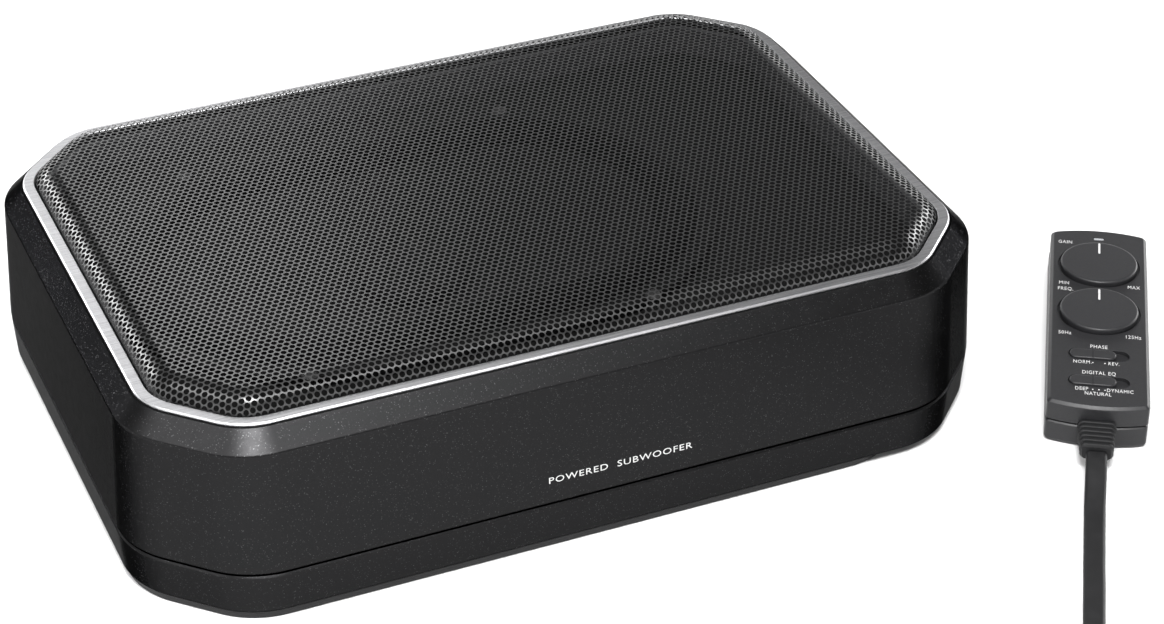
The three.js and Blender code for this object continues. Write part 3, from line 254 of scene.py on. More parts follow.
def sparkle_paint():
    base = tuple(colours().paint)
    made = Finish("sparkle_paint", base, 0.36, 1.0, Specular_Tint=(0.25, 0.25, 0.25, 1.0))
    flakes = made.cells(4.6, "Color")
    grey = made.tree.nodes.new("ShaderNodeSeparateColor")
    made.tree.links.new(flakes, grey.inputs["Color"])
    bright = tuple(min(1.0, c * 3.4) for c in base)
    dull = tuple(c * 0.9 for c in base)
    made.paint(made.ramp(grey.outputs["Red"], [(0.0, dull), (0.965, base), (0.995, bright)]))
    made.shine(made.noise(0.35, 4.0), 0.31, 0.41)
    made.bump(made.noise(1.6, 3.0), 0.018, 0.7)
    return made.bump(made.noise(0.05, 2.0), 0.02, 0.3)


def base_plastic():
    made = Finish("base_plastic", (0.006, 0.006, 0.0065), 0.5, Specular_IOR_Level=0.35)
    made.shades(made.noise(0.4), 0.8, 1.25)
    made.shine(made.noise(0.8), 0.45, 0.6)
    return made.bump(made.noise(2.2, 4.0), 0.02, 0.6)


# Painted shade: a near-black matt finish for the baffle faces under the grille, used in place of the cabinet paint
# so the pocket seen through the holes reads as shade.
def pocket_painted_shade():
    made = Finish("pocket_painted_shade", (0.004, 0.004, 0.004), 0.9, Specular_IOR_Level=0.1)
    made.shades(made.noise(0.5), 0.7, 1.3)
    made.shine(made.noise(0.8), 0.85, 0.98)
    return made.bump(made.noise(2.0, 4.0), 0.03, 0.6)


def brushed_trim():
    base = tuple(colours().trim)
    made = Finish("brushed_trim", base, 0.38, 1.0, Anisotropic=0.4)
    streaks = made.noise(1.0, 4.0, (0.06, 9.0, 9.0))
    made.shades(streaks, 0.55, 1.20)
    made.shine(made.noise(1.0, 3.0, (0.03, 5.0, 5.0)), 0.32, 0.46)
    return made.bump(streaks, 0.006, 0.6)


def mesh_enamel():
    made = Finish("mesh_enamel", tuple(colours().mesh), 0.33, 0.0, Specular_IOR_Level=0.75)
    made.shades(made.noise(0.5), 0.8, 1.3)
    made.shine(made.noise(1.2), 0.26, 0.36)
    return made.bump(made.noise(3.0, 2.0), 0.006, 0.5)


def black_plastic():
    made = Finish("moulded_black", (0.012, 0.012, 0.013), 0.5)
    made.shades(made.noise(0.3), 0.8, 1.2)
    made.shine(made.noise(0.8), 0.42, 0.6)
    return made.bump(made.noise(1.8, 4.0), 0.02, 0.6)


def screw_steel():
    made = Finish("screw_steel", (0.22, 0.22, 0.23), 0.35, 1.0)
    made.shades(made.noise(0.9, 4.0), 0.7, 1.25)
    made.shine(made.noise(1.5), 0.28, 0.48)
    return made.bump(made.noise(2.5), 0.01, 0.5)


def blackened_screw():
    made = Finish("blackened_screw", (0.012, 0.012, 0.012), 0.6, Specular_IOR_Level=0.3)
    made.shades(made.noise(0.9, 4.0), 0.7, 1.25)
    made.shine(made.noise(1.5), 0.5, 0.7)
    return made.bump(made.noise(2.5), 0.01, 0.5)


def foot_rubber():
    made = Finish("foot_rubber", (0.010, 0.010, 0.010), 0.8, Specular_IOR_Level=0.3)
    made.shades(made.noise(0.5), 0.7, 1.4)
    made.shine(made.noise(0.7), 0.7, 0.92)
    return made.bump(made.noise(1.5, 5.0), 0.05, 0.7)


# Near-black surround and gasket: the rubber's own black colour, made darker still as painted shade for the pocket
# under the grille.
def surround_rubber():
    made = Finish("surround_rubber", (0.003, 0.003, 0.003), 0.9, Specular_IOR_Level=0.03)
    made.shades(made.noise(0.5), 0.75, 1.25)
    made.shine(made.noise(0.9), 0.78, 0.92)
    return made.bump(made.noise(1.6, 4.0), 0.02, 0.5)


# Near-black basket: its own black paint colour, made darker still as painted shade for the pocket under the grille.
def basket_paint():
    made = Finish("basket_paint", (0.004, 0.004, 0.004), 0.8, 0.0, Specular_IOR_Level=0.08)
    made.shades(made.noise(0.25), 0.8, 1.2)
    made.shine(made.noise(0.5), 0.75, 0.9)
    return made.bump(made.noise(1.0, 4.0), 0.02, 0.6)


def plated_steel():
    made = Finish("plated_steel", (0.42, 0.41, 0.38), 0.34, 1.0)
    made.shades(made.noise(0.15, 5.0), 0.75, 1.2)
    made.shine(made.noise(0.6, 4.0), 0.25, 0.5)
    return made.bump(made.noise(1.6), 0.01, 0.4)


def ferrite_block():
    made = Finish("ferrite_block", (0.030, 0.029, 0.029), 0.68)
    made.shades(made.noise(0.5, 5.0), 0.7, 1.4)
    made.shine(made.noise(1.0, 4.0), 0.55, 0.8)
    return made.bump(made.noise(1.2, 6.0), 0.05, 0.8)


def former_film():
    made = Finish("former_film", (0.30, 0.13, 0.03), 0.35, Coat_Weight=0.3)
    made.shades(made.noise(0.4), 0.8, 1.2)
    made.shine(made.noise(0.6), 0.28, 0.45)
    return made.bump(made.noise(1.0), 0.01, 0.4)


def wound_copper():
    made = Finish("wound_copper", (0.62, 0.24, 0.10), 0.32, 1.0)
    turns = made.noise(1.0, 2.0, (0.05, 0.05, 6.0))
    made.shades(turns, 0.5, 1.15)
    made.shine(made.noise(0.8), 0.25, 0.45)
    return made.bump(turns, 0.08, 0.9)


def spider_cloth():
    made = Finish("spider_cloth", (0.42, 0.30, 0.13), 0.88, Sheen_Weight=0.2)
    weave = made.cells(1.6)
    made.shades(weave, 0.55, 1.2)
    made.shine(made.noise(0.6), 0.8, 0.95)
    return made.bump(weave, 0.10, 0.9)


# Near-black cone and dust cap: the paper's own black colour, made darker still as painted shade for the pocket under
# the grille.
def cone_paper():
    made = Finish("cone_paper", (0.004, 0.004, 0.004), 0.9, Specular_IOR_Level=0.05)
    fibres = made.noise(0.8, 7.0, (1.0, 2.6, 1.0), 0.6)
    made.shades(fibres, 0.6, 1.6)
    made.shine(made.noise(0.5), 0.75, 0.95)
    return made.bump(fibres, 0.06, 0.8)


def circuit_board():
    made = Finish("circuit_board", (0.012, 0.075, 0.030), 0.38, Coat_Weight=0.4, Coat_Roughness=0.2)
    tracks = made.cells(0.35, "Distance", "DISTANCE_TO_EDGE")
    made.paint(made.ramp(tracks, [(0.03, (0.03, 0.15, 0.06)), (0.09, (0.010, 0.065, 0.026))]))
    made.shine(made.noise(0.4), 0.3, 0.45)
    return made.bump(tracks, 0.03, 0.5)


def heatsink_aluminium():
    made = Finish("heatsink_aluminium", (0.60, 0.61, 0.62), 0.38, 1.0)
    drawn = made.noise(1.0, 4.0, (6.0, 6.0, 0.06))
    made.shades(drawn, 0.75, 1.15)
    made.shine(made.noise(0.5), 0.3, 0.5)
    return made.bump(drawn, 0.012, 0.6)


def capacitor_sleeve():
    made = Finish("capacitor_sleeve", (0.012, 0.016, 0.030), 0.32, Coat_Weight=0.4)
    made.shades(made.noise(0.3), 0.8, 1.3)
    made.shine(made.noise(0.7), 0.25, 0.4)
    return made.bump(made.noise(0.6), 0.02, 0.5)


def remote_case():
    base = tuple(colours().remote)
    made = Finish("remote_case", base, 0.42, 0.0, Specular_IOR_Level=0.32)
    made.shades(made.noise(1.4, 4.0), 0.86, 1.16)
    made.shine(made.noise(0.6, 4.0), 0.38, 0.50)
    return made.bump(made.noise(3.2, 4.0), 0.012, 0.8)


def knob_plastic():
    base = tuple(c * 1.12 for c in colours().remote)
    made = Finish("knob_plastic", base, 0.40, 0.0, Specular_IOR_Level=0.32)
    made.shades(made.noise(2.0, 5.0), 0.85, 1.18)
    made.shine(made.noise(1.0, 4.0), 0.34, 0.48)
    return made.bump(made.noise(4.0, 3.0), 0.012, 0.8)


def indicator_lens():
    made = Finish("indicator_lens", (0.42, 0.43, 0.45), 0.18, Transmission_Weight=0.25, IOR=1.49)
    made.shades(made.noise(1.5), 0.7, 1.2)
    made.shine(made.noise(1.0), 0.12, 0.28)
    return made.bump(made.noise(1.8), 0.01, 0.4)


def cord_jacket():
    base = tuple(colours().cord)
    made = Finish("cord_jacket", base, 0.5, Specular_IOR_Level=0.25)
    made.shades(made.noise(0.25, 4.0), 0.8, 1.4)
    made.shine(made.noise(0.5, 3.0), 0.42, 0.62)
    return made.bump(made.noise(1.1, 4.0), 0.03, 0.6)


def boot_rubber():
    base = tuple(c * 1.15 for c in colours().cord)
    made = Finish("boot_rubber", base, 0.55, Specular_IOR_Level=0.25)
    made.shades(made.noise(0.8, 4.0), 0.8, 1.3)
    made.shine(made.noise(1.0), 0.48, 0.66)
    return made.bump(made.noise(2.4, 4.0), 0.02, 0.6)


def tie_strap():
    made = Finish("tie_strap", (0.014, 0.014, 0.015), 0.75, Sheen_Weight=0.4)
    ribs = made.cells(1.5)
    made.shades(ribs, 0.6, 1.6)
    made.shine(made.noise(0.6), 0.65, 0.9)
    return made.bump(ribs, 0.10, 0.8)


def clear_plastic():
    made = Finish("clear_plastic", (0.80, 0.82, 0.83), 0.10, Transmission_Weight=0.75, IOR=1.55)
    made.shades(made.noise(0.4), 0.92, 1.05)
    made.shine(made.noise(0.5), 0.06, 0.18)
    return made.bump(made.noise(0.8), 0.01, 0.3)


def contact_gold():
    made = Finish("contact_gold", (0.83, 0.60, 0.24), 0.25, 1.0)
    made.shades(made.noise(1.5), 0.85, 1.1)
    made.shine(made.noise(1.0), 0.18, 0.34)
    return made.bump(made.noise(2.0), 0.005, 0.3)


def print_ink():
    base = tuple(colours().print)
    made = Finish("print_ink", base, 0.55)
    made.shades(made.noise(1.6, 4.0), 0.82, 1.08)
    made.shine(made.noise(1.0), 0.48, 0.62)
    return made.bump(made.noise(3.0), 0.004, 0.4)


MAKERS = {maker.__name__: maker for maker in (
    sparkle_paint, base_plastic, pocket_painted_shade, brushed_trim, mesh_enamel, black_plastic, screw_steel,
    blackened_screw, foot_rubber, surround_rubber, basket_paint, plated_steel, ferrite_block, former_film,
    wound_copper, spider_cloth, cone_paper, circuit_board, heatsink_aluminium, capacitor_sleeve, remote_case,
    knob_plastic, indicator_lens, cord_jacket, boot_rubber, tie_strap, clear_plastic, contact_gold, print_ink)}


# ---------------------------------------------------------------- outlines, in millimetres
def rounded(corners, radius, steps):
    """A closed outline, anticlockwise, with an arc at each corner."""
    points = []
    for i, corner in enumerate(corners):
        corner = Vector(corner)
        back = (Vector(corners[i - 1]) - corner).normalized()
        ahead = (Vector(corners[(i + 1) % len(corners)]) - corner).normalized()
        half = back.angle(ahead) / 2
        reach, middle = radius / math.tan(half), (back + ahead).normalized()
        centre = corner + middle * (radius / math.sin(half))
        arm = corner + back * reach - centre
        first, turn = math.atan2(arm.y, arm.x), math.pi - 2 * half
        for step in range(steps + 1):
            angle = first + turn * step / steps
            points.append((centre.x + radius * math.cos(angle), centre.y + radius * math.sin(angle)))
    return points


def eight_corners(x, y, left, right):
    return [(x, right - y), (x, y - right), (x - right, y), (left - x, y),
            (-x, y - left), (-x, left - y), (left - x, -y), (x - right, -y)]


def body_outline(inset):
    """The cabinet's outline, moved inwards by the inset."""
    leg = max(CORNER_LEG - inset * (2 - math.sqrt(2)), 8.0)
    corners = eight_corners(BODY_HALF[0] - inset, BODY_HALF[1] - inset, leg, leg)
    return rounded(corners, max(CORNER_RADIUS - inset, 4.0), bpy.context.scene.subwoofer_cabinet.arc_steps)


def outline_inset(points):
    """How far in from the cabinet's outline each point is, and the direction inwards."""
    hx, hy = BODY_HALF[0] - CORNER_RADIUS, BODY_HALF[1] - CORNER_RADIUS
    leg = CORNER_LEG - CORNER_RADIUS * (2 - math.sqrt(2))
    sign = np.sign(points) + (points == 0)
    q = np.abs(points)
    a, b = np.array((hx, hy - leg)), np.array((hx - leg, hy))
    share = np.clip(((q - a) @ (b - a)) / ((b - a) @ (b - a)), 0, 1)
    near = np.stack([
        np.stack([np.full(len(q), hx), np.minimum(q[:, 1], hy - leg)], 1),
        np.stack([np.minimum(q[:, 0], hx - leg), np.full(len(q), hy)], 1),
        a + share[:, None] * (b - a)], 0)
    away = np.linalg.norm(near - q, axis=2)
    best = away.argmin(0)
    nearest, distance = near[best, np.arange(len(q))], away.min(0)
    outside = (q[:, 0] > hx) | (q[:, 1] > hy) | (q.sum(1) > hx + hy - leg)
    inset = CORNER_RADIUS + np.where(outside, -distance, distance)
    inward = np.where(outside[:, None], nearest - q, q - nearest) / np.maximum(distance, 1e-9)[:, None]
    return inset, inward * sign


def base_outline(inset):
    left = CORNER_LEG - inset * (2 - math.sqrt(2))
    right = BASE_RIGHT_LEG - (inset - 2.4) * (2 - math.sqrt(2))
    corners = eight_corners(BODY_HALF[0] - inset, BODY_HALF[1] - inset, left, right)
    return rounded(corners, CORNER_RADIUS - inset, bpy.context.scene.subwoofer_cabinet.arc_steps)


def rectangle(half_x, half_y, radius, steps=8):
    corners = [(half_x, -half_y), (half_x, half_y), (-half_x, half_y), (-half_x, -half_y)]
    return rounded(corners, radius, steps)


def racetrack(half_x, half_y, steps=16):
    return rectangle(half_x, half_y, half_y - 0.05, steps)


def circle(radius, steps):
    return [(radius * math.cos(2 * math.pi * i / steps), radius * math.sin(2 * math.pi * i / steps))
            for i in range(steps)]


def moved(points, x, y):
    return [(px + x, py + y) for px, py in points]


def resampled(points, count):
    """The same closed outline with a given number of evenly spaced points, from the same first point."""
    line = np.array([*points, points[0]], float)
    along = np.concatenate([[0], np.cumsum(np.linalg.norm(np.diff(line, axis=0), axis=1))])
    at = np.linspace(0, along[-1], count, endpoint=False)
    return list(zip(np.interp(at, along, line[:, 0]), np.interp(at, along, line[:, 1])))


def softened(profile, steps=4):
    """A profile of (inset, z, radius) points with each corner rounded off by its radius."""
    points = []
    for i, (x, z, radius) in enumerate(profile):
        if radius <= 0 or i in (0, len(profile) - 1):
            points.append((x, z))
            continue
        here = Vector((x, z))
        back, ahead = Vector(profile[i - 1][:2]) - here, Vector(profile[i + 1][:2]) - here
        half = back.angle(ahead) / 2
        reach = min(radius / math.tan(half), 0.48 * back.length, 0.48 * ahead.length)
        back.normalize()
        ahead.normalize()
        start, end = here + back * reach, here + ahead * reach
        for step in range(steps + 1):
            t = step / steps
            point = start * (1 - t) ** 2 + here * (2 * t * (1 - t)) + end * t ** 2
            points.append((point.x, point.y))
    return points


# ---------------------------------------------------------------- meshes
def piece(name, vertices, faces, body, slot, material, place=None, sharp=32.0, mm=True):
    """A finished mesh object that rides on a body, with weighted normals so that its flats stay flat."""
    mesh = bpy.data.meshes.new(name)
    scale = MM if mm else 1.0
    mesh.from_pydata([tuple(c * scale for c in v) for v in vertices], [], faces)
    return shown(name, mesh, body, material, place, sharp)


def shown(name, mesh, body, material, place=None, sharp=32.0):
    work = bmesh.new()
    work.from_mesh(mesh)
    bmesh.ops.recalc_face_normals(work, faces=work.faces)
    work.to_mesh(mesh)
    work.free()
    if place is not None:
        mesh.transform(place)
    mesh.shade_smooth()
    mesh.set_sharp_from_angle(angle=math.radians(sharp))
    mesh.materials.append(finish(material))
    obj = bpy.data.objects.new(name, mesh)
    bpy.context.scene.collection.objects.link(obj)
    weighted = obj.modifiers.new("weighted", "WEIGHTED_NORMAL")
    weighted.keep_sharp = True
    if body:
        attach(obj, body)
    return obj


def skinned(sections, ring=False):
    """Vertices and faces over a stack of outlines of equal count, each (points, z); a ring closes on itself."""
    count = len(sections[0][0])
    vertices = [(x, y, z) for points, z in sections for x, y in points]
    faces = []
    for level in range(len(sections) if ring else len(sections) - 1):
        low, high = level * count, (level + 1) % len(sections) * count
        for i in range(count):
            j = (i + 1) % count
            faces.append((low + i, low + j, high + j, high + i))
    if not ring:
        faces.append(tuple(reversed(range(count))))
        faces.append(tuple(range((len(sections) - 1) * count, len(sections) * count)))
    return vertices, faces


def sleeve_faces(rows, count):
    """The faces of a capped sleeve over rows of vertices, each row with the same count."""
    faces = [(r * count + i, r * count + (i + 1) % count, (r + 1) * count + (i + 1) % count, (r + 1) * count + i)
             for r in range(rows - 1) for i in range(count)]
    return [*faces, tuple(reversed(range(count))), tuple(range((rows - 1) * count, rows * count))]


def turned(profile, steps=64, ring=False):
    """Vertices and faces of a turned form from (radius, z) points, which end on the axis unless it is a ring."""
    vertices, faces = [], []
    rows = []
    for radius, z in profile:
        if radius < 1e-6:
            vertices.append((0.0, 0.0, z))
            rows.append([len(vertices) - 1] * steps)
        else:
            rows.append(list(range(len(vertices), len(vertices) + steps)))
            vertices += [(x, y, z) for x, y in circle(radius, steps)]
    pairs = list(zip(rows, rows[1:])) + ([(rows[-1], rows[0])] if ring else [])
    for low, high in pairs:
        for i in range(steps):
            j = (i + 1) % steps
            face = list(dict.fromkeys((low[i], low[j], high[j], high[i])))
            if len(face) > 2:
                faces.append(tuple(face))
    return vertices, faces


def solid(vertices, faces, mm=True):
    """A bare mesh object, for cutting with."""
    mesh = bpy.data.meshes.new("tool")
    scale = MM if mm else 1.0
    mesh.from_pydata([tuple(c * scale for c in v) for v in vertices], [], faces)
    work = bmesh.new()
    work.from_mesh(mesh)
    bmesh.ops.recalc_face_normals(work, faces=work.faces)
    work.to_mesh(mesh)
    work.free()
    obj = bpy.data.objects.new("tool", mesh)
    bpy.context.scene.collection.objects.link(obj)
    return obj


def block(x0, x1, y0, y1, z0, z1):
    corners = [(x0, y0), (x1, y0), (x1, y1), (x0, y1)]
    return skinned([(corners, z0), (corners, z1)])


def carved(body, tools):
    """The mesh of a solid with the tools cut out of it. The solid and the tools are used up."""
    for tool in tools:
        cut = body.modifiers.new("cut", "BOOLEAN")
        cut.operation = "DIFFERENCE"
        cut.solver = "EXACT"
        cut.object = tool
    bpy.context.view_layer.update()
    mesh = bpy.data.meshes.new_from_object(body.evaluated_get(bpy.context.evaluated_depsgraph_get()))
    for obj in [body, *tools]:
        bpy.data.objects.remove(obj)
    return mesh


def edge_softened(obj, width_mm, segments=2, angle=35.0):
    """Small rounded edges, made before the weighted normals."""
    bevel = obj.modifiers.new("edges", "BEVEL")
    bevel.width = width_mm * MM
    bevel.segments = segments
    bevel.limit_method = "ANGLE"
    bevel.angle_limit = math.radians(angle)
    bevel.use_clamp_overlap = True
    bevel.harden_normals = False
    obj.modifiers.move(len(obj.modifiers) - 1, 0)
    return obj


def drill(radius, low, high, x, y, steps):
    """A round cutting tool between two heights."""
    return solid(*shifted(skinned([(circle(radius, steps), low), (circle(radius, steps), high)]), x, y))


def joined(*parts):
    """Several (vertices, faces) as one."""
    vertices, faces = [], []
    for part_vertices, part_faces in parts:
        start = len(vertices)
        vertices += part_vertices
        faces += [tuple(i + start for i in face) for face in part_faces]
    return vertices, faces


def shifted(part, x=0.0, y=0.0, z=0.0):
    vertices, faces = part
    return [(a + x, b + y, c + z) for a, b, c in vertices], faces


def lettering(name, words, height_mm, place, body, squeeze=0.8, align="CENTER"):
    """Printed words as a very thin raised mesh. The height is that of a capital."""
    curve = bpy.data.curves.new(name, "FONT")
    curve.body = words
    curve.align_x = align
    curve.align_y = "CENTER"
    curve.size = height_mm * MM / 0.69
    curve.space_character = 1.12
    curve.extrude = 0.012 * MM
    curve.resolution_u = 3
    font = bpy.data.objects.new(name + "_font", curve)
    mesh = bpy.data.meshes.new_from_object(font)
    bpy.data.objects.remove(font)
    bpy.data.curves.remove(curve)
    mesh.transform(place @ Matrix.Diagonal((squeeze, 1.0, 1.0, 1.0)))
    mesh.materials.clear()
    return shown(name, mesh, body, "print_ink", sharp=20.0)


def finish_node(node, material):
    """A carried-over piece of the frame gets its finish."""
    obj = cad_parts[node]
    obj.data.materials.clear()
    obj.data.materials.append(finish(material))
    return obj


# ---------------------------------------------------------------- the cord's line
def spaced(line, step):
    line = np.array(line, float)
    along = np.concatenate([[0], np.cumsum(np.linalg.norm(np.diff(line, axis=0), axis=1))])
    at = np.linspace(0, along[-1], max(2, round(along[-1] / step) + 1))
    return np.stack([np.interp(at, along, line[:, k]) for k in range(3)], axis=1)


def smooth_line(points, per_span=8):
    """A Catmull-Rom line through the points."""
    p = np.array([2 * np.array(points[0]) - np.array(points[1]), *points,
                  2 * np.array(points[-1]) - np.array(points[-2])], float)
    line = []
    for i in range(1, len(p) - 2):
        for t in np.arange(per_span) / per_span:
            line.append(0.5 * (2 * p[i] + (p[i + 1] - p[i - 1]) * t
                               + (2 * p[i - 1] - 5 * p[i] + 4 * p[i + 1] - p[i + 2]) * t ** 2
                               + (3 * p[i] - p[i - 1] - 3 * p[i + 1] + p[i + 2]) * t ** 3))
    line.append(p[-2])
    return np.array(line)


def coil_line(settings):
    """The cord's turns: in towards the middle along the floor, up, and out again on top."""
    outer, inner = 0.0569, 0.0306
    start, end = math.radians(148.4), math.radians(-60.0)
    low_z, high_z = 0.00345, 0.0103
    tie, tie_lift, tie_spread = math.radians(TIE_TURN), 0.0009, 0.22
    whole = 2 * math.pi
    inward = whole * (outer - inner) / settings.turn_pitch
    rise = math.pi * 0.6
    reached = start + inward + rise - end
    outward = round((reached + inward) / whole) * whole - reached
    angles = np.arange(0, inward + rise + outward, math.radians(5.0))
    points = []
    for angle in [*angles, inward + rise + outward]:
        if angle <= inward:
            radius, z = outer - settings.turn_pitch * angle / whole, low_z
        elif angle <= inward + rise:
            share = (angle - inward) / rise
            radius, z = inner, low_z + (high_z - low_z) * share * share * (3 - 2 * share)
        else:
            share = (angle - inward - rise) / outward
            radius, z = inner + (outer - inner) * share, high_z
        theta = start + angle
        away = (theta - tie + math.pi) % whole - math.pi
        z += tie_lift * math.exp(-(away / tie_spread) ** 2)
        points.append((COIL_CENTRE[0] + radius * math.cos(theta), COIL_CENTRE[1] + radius * math.sin(theta), z))
    return points


def cord_line(settings):
    """Points down the middle of the whole cord, and how far the flat section is turned on edge at each."""
    lead = spaced(smooth_line(LEAD), 0.0030)
    tail = spaced(smooth_line(TAIL), 0.0030)
    coil = np.array(coil_line(settings))
    line = np.concatenate([lead, coil, tail])
    along = np.concatenate([[0], np.cumsum(np.linalg.norm(np.diff(line, axis=0), axis=1))])
    share = np.clip((along - 0.082) / 0.045, 0, 1)
    turn = share * share * (3 - 2 * share) * math.pi / 2
    half, radius = settings.width / 2, settings.thickness / 2
    line[:, 2] = np.maximum(line[:, 2], radius + (half - radius) * np.sin(turn) + 0.00005)
    return line, turn


def flat_tube(line, turn, width, thickness, sides=6):
    """A flat cord's skin along a line that runs near level; turn 0 lies flat, a quarter turn stands on edge."""
    half, radius = width / 2, thickness / 2
    section = []
    for sign in (1, -1):
        for step in range(sides + 1):
            angle = sign * math.pi / 2 - math.pi * step / sides
            section.append((sign * (half - radius) + radius * math.cos(angle), radius * math.sin(angle)))
    ahead = np.gradient(line, axis=0)
    ahead /= np.linalg.norm(ahead, axis=1)[:, None]
    across = np.cross(ahead, (0.0, 0.0, 1.0))
    across /= np.linalg.norm(across, axis=1)[:, None]
    over = np.cross(across, ahead)
    wide = across * np.cos(turn)[:, None] + over * np.sin(turn)[:, None]
    thin = -across * np.sin(turn)[:, None] + over * np.cos(turn)[:, None]
    count = len(section)
    vertices = [tuple(p + w * x + t * y) for p, w, t in zip(line, wide, thin) for x, y in section]
    return vertices, sleeve_faces(len(line), count)


# ---------------------------------------------------------------- operators
class SUBWOOFER_OT_stage(bpy.types.Operator):
    """Adds the camera, the pale floor and the soft studio lights"""

    bl_idname = "subwoofer.stage"
    bl_label = "Stage, camera and lights"

    def execute(self, context):
        scene = context.scene
        camera = bpy.data.cameras.new("camera")
        camera.sensor_width = 36.0
        camera.lens = 92.53
        camera.clip_start, camera.clip_end = 0.05, 20.0
        eye = bpy.data.objects.new("camera", camera)
        scene.collection.objects.link(eye)
        azimuth, elevation = math.radians(23.358), math.radians(32.927)
        forward = Vector((math.sin(azimuth) * math.cos(elevation), math.cos(azimuth) * math.cos(elevation),
                          -math.sin(elevation)))
        eye.location = (-0.29250, -0.75695, 0.54593)
        eye.rotation_euler = forward.to_track_quat("-Z", "Y").to_euler()
        scene.camera = eye
        self.floor(scene)
        self.lights(scene)
        return {"FINISHED"}

    def floor(self, scene):
        mesh = bpy.data.meshes.new("floor")
        rim = circle(3.0, 96)
        mesh.from_pydata([(x, y, -0.00005) for x, y in rim], [], [tuple(range(96))])
        floor = bpy.data.objects.new("floor", mesh)
        scene.collection.objects.link(floor)
        made = Finish("studio_floor", (0.74, 0.74, 0.74), 0.65, Specular_IOR_Level=0.3)
        made.shades(made.noise(0.002), 0.99, 1.01)
        mesh.materials.append(made.material)

    def lights(self, scene):
        scene.view_settings.view_transform = "Standard"
        world = bpy.data.worlds.new("studio")
        world.use_nodes = True
        nodes, links = world.node_tree.nodes, world.node_tree.links
        height = nodes.new("ShaderNodeSeparateXYZ")
        links.new(nodes.new("ShaderNodeTexCoord").outputs["Generated"], height.inputs["Vector"])
        ramp = nodes.new("ShaderNodeValToRGB")
        for stop, place, grey in zip((0, 1), (0.17, 0.36), (2.6, 0.09)):
            ramp.color_ramp.elements[stop].position = place
            ramp.color_ramp.elements[stop].color = (grey, grey, grey, 1.0)
        links.new(height.outputs["Z"], ramp.inputs["Fac"])
        links.new(ramp.outputs["Color"], nodes["Background"].inputs["Color"])
        scene.world = world
        for name, turn, height, distance, size, power in (
                ("key", 201.0, 57.0, 1.7, (0.45, 0.35), 40.0),
                ("top", 90.0, 86.0, 1.7, (2.0, 2.0), 14.0),
                ("side", 262.0, 46.0, 1.7, (1.0, 0.8), 14.0),
                ("front", 172.0, 55.0, 1.7, (0.5, 0.4), 6.0),
                ("rim_left", 326.0, 10.0, 1.7, (0.9, 0.35), 10.0),
                ("rim_right", 79.0, 12.0, 1.7, (0.8, 0.35), 10.0),
                ("back", 5.0, 40.0, 1.5, (0.5, 0.4), 3.1)):
            light = bpy.data.lights.new(name, "AREA")
            light.shape = "RECTANGLE"
            light.size, light.size_y = size
            light.energy = power
            lamp = bpy.data.objects.new(name, light)
            turn, height = math.radians(turn), math.radians(height)
            away = Vector((math.sin(turn) * math.cos(height), math.cos(turn) * math.cos(height), math.sin(height)))
            lamp.location = away * distance
            lamp.rotation_euler = (-away).to_track_quat("-Z", "Y").to_euler()
            scene.collection.objects.link(lamp)


class SUBWOOFER_OT_cord(bpy.types.Operator):
    """Lays the flat cord from the boot over the floor, winds it into its coil and ties it"""

    bl_idname = "subwoofer.cord"
    bl_label = "Cord, coil, tie and plug"

    def execute(self, context):
        settings = context.scene.subwoofer_cord
        line, turn = cord_line(settings)
        vertices, faces = flat_tube(line, turn, settings.width, settings.thickness)
        cord = piece("flat_cord", vertices, faces, "cabinet", "cord_jacket", "cord_jacket", mm=False, sharp=50.0)
        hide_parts("cord_lead", "cord_coil", "cord_tail")
        tie = self.tie()
        plug = self.plug()
        return {"FINISHED"}

    def tie(self):
        inner, outer, low, high = 28.9, 58.6, 0.95, 15.0
        middle = ((inner + outer) / 2, (low + high) / 2)
        half = ((outer - inner) / 2, (high - low) / 2)
        sections = []
        for grow, y in ((0.0, -4.0), (0.75, -4.0), (0.75, 4.0), (0.0, 4.0)):
            ring = moved(rectangle(half[0] + grow, half[1] + grow, 2.0 + grow, 6), *middle)
            sections.append([(x, y, z) for x, z in ring])
        count = len(sections[0])
        vertices = [v for section in sections for v in section]
        faces = [(a * count + i, a * count + (i + 1) % count, (a + 1) % 4 * count + (i + 1) % count,
                  (a + 1) % 4 * count + i) for a in range(4) for i in range(count)]
        buckle = block(40.0, 48.0, -5.2, 5.2, 15.6, 16.6)
        place = Matrix.Translation((*COIL_CENTRE, 0.0)) @ Matrix.Rotation(math.radians(TIE_TURN), 4, "Z")
        strap = piece("cord_tie", *joined((vertices, faces), buckle), "cabinet", "rubber", "tie_strap", place)
        edge_softened(strap, 0.2)
        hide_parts("coil_tie")
        return strap

    def plug(self):
        shell = skinned([(rectangle(4.85, 3.3, 0.5, 3), z) for z in (0.0, 12.6)])
        shell = ([(x, z, y + 3.6) for x, y, z in shell[0]], shell[1])
        body = solid(*shell)
        contacts = (-2.5, -1.5, -0.5, 0.5, 1.5, 2.5)
        tools = [solid(*block(x - 0.28, x + 0.28, 9.4, 13.0, 5.7, 8.0)) for x in contacts]
        tools.append(solid(*block(-3.4, 3.4, -1.0, 5.0, 2.2, 5.0)))
        body = shown("plug_shell", carved(body, tools), "cabinet", "clear_plastic", PLUG_PLACE)
        edge_softened(body, 0.15)
        latch = piece("plug_latch", *block(-1.6, 1.6, 3.2, 12.1, 6.95, 7.75), "cabinet", "clear_plastic",
                      "clear_plastic", PLUG_PLACE)
        edge_softened(latch, 0.3)
        blades = joined(*(block(x - 0.15, x + 0.15, 9.5, 12.4, 4.6, 6.5) for x in contacts))
        gold = piece("plug_contacts", *blades, "cabinet", "plated_steel", "contact_gold", PLUG_PLACE)
        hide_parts("modular_plug")
        return [body, latch, gold]


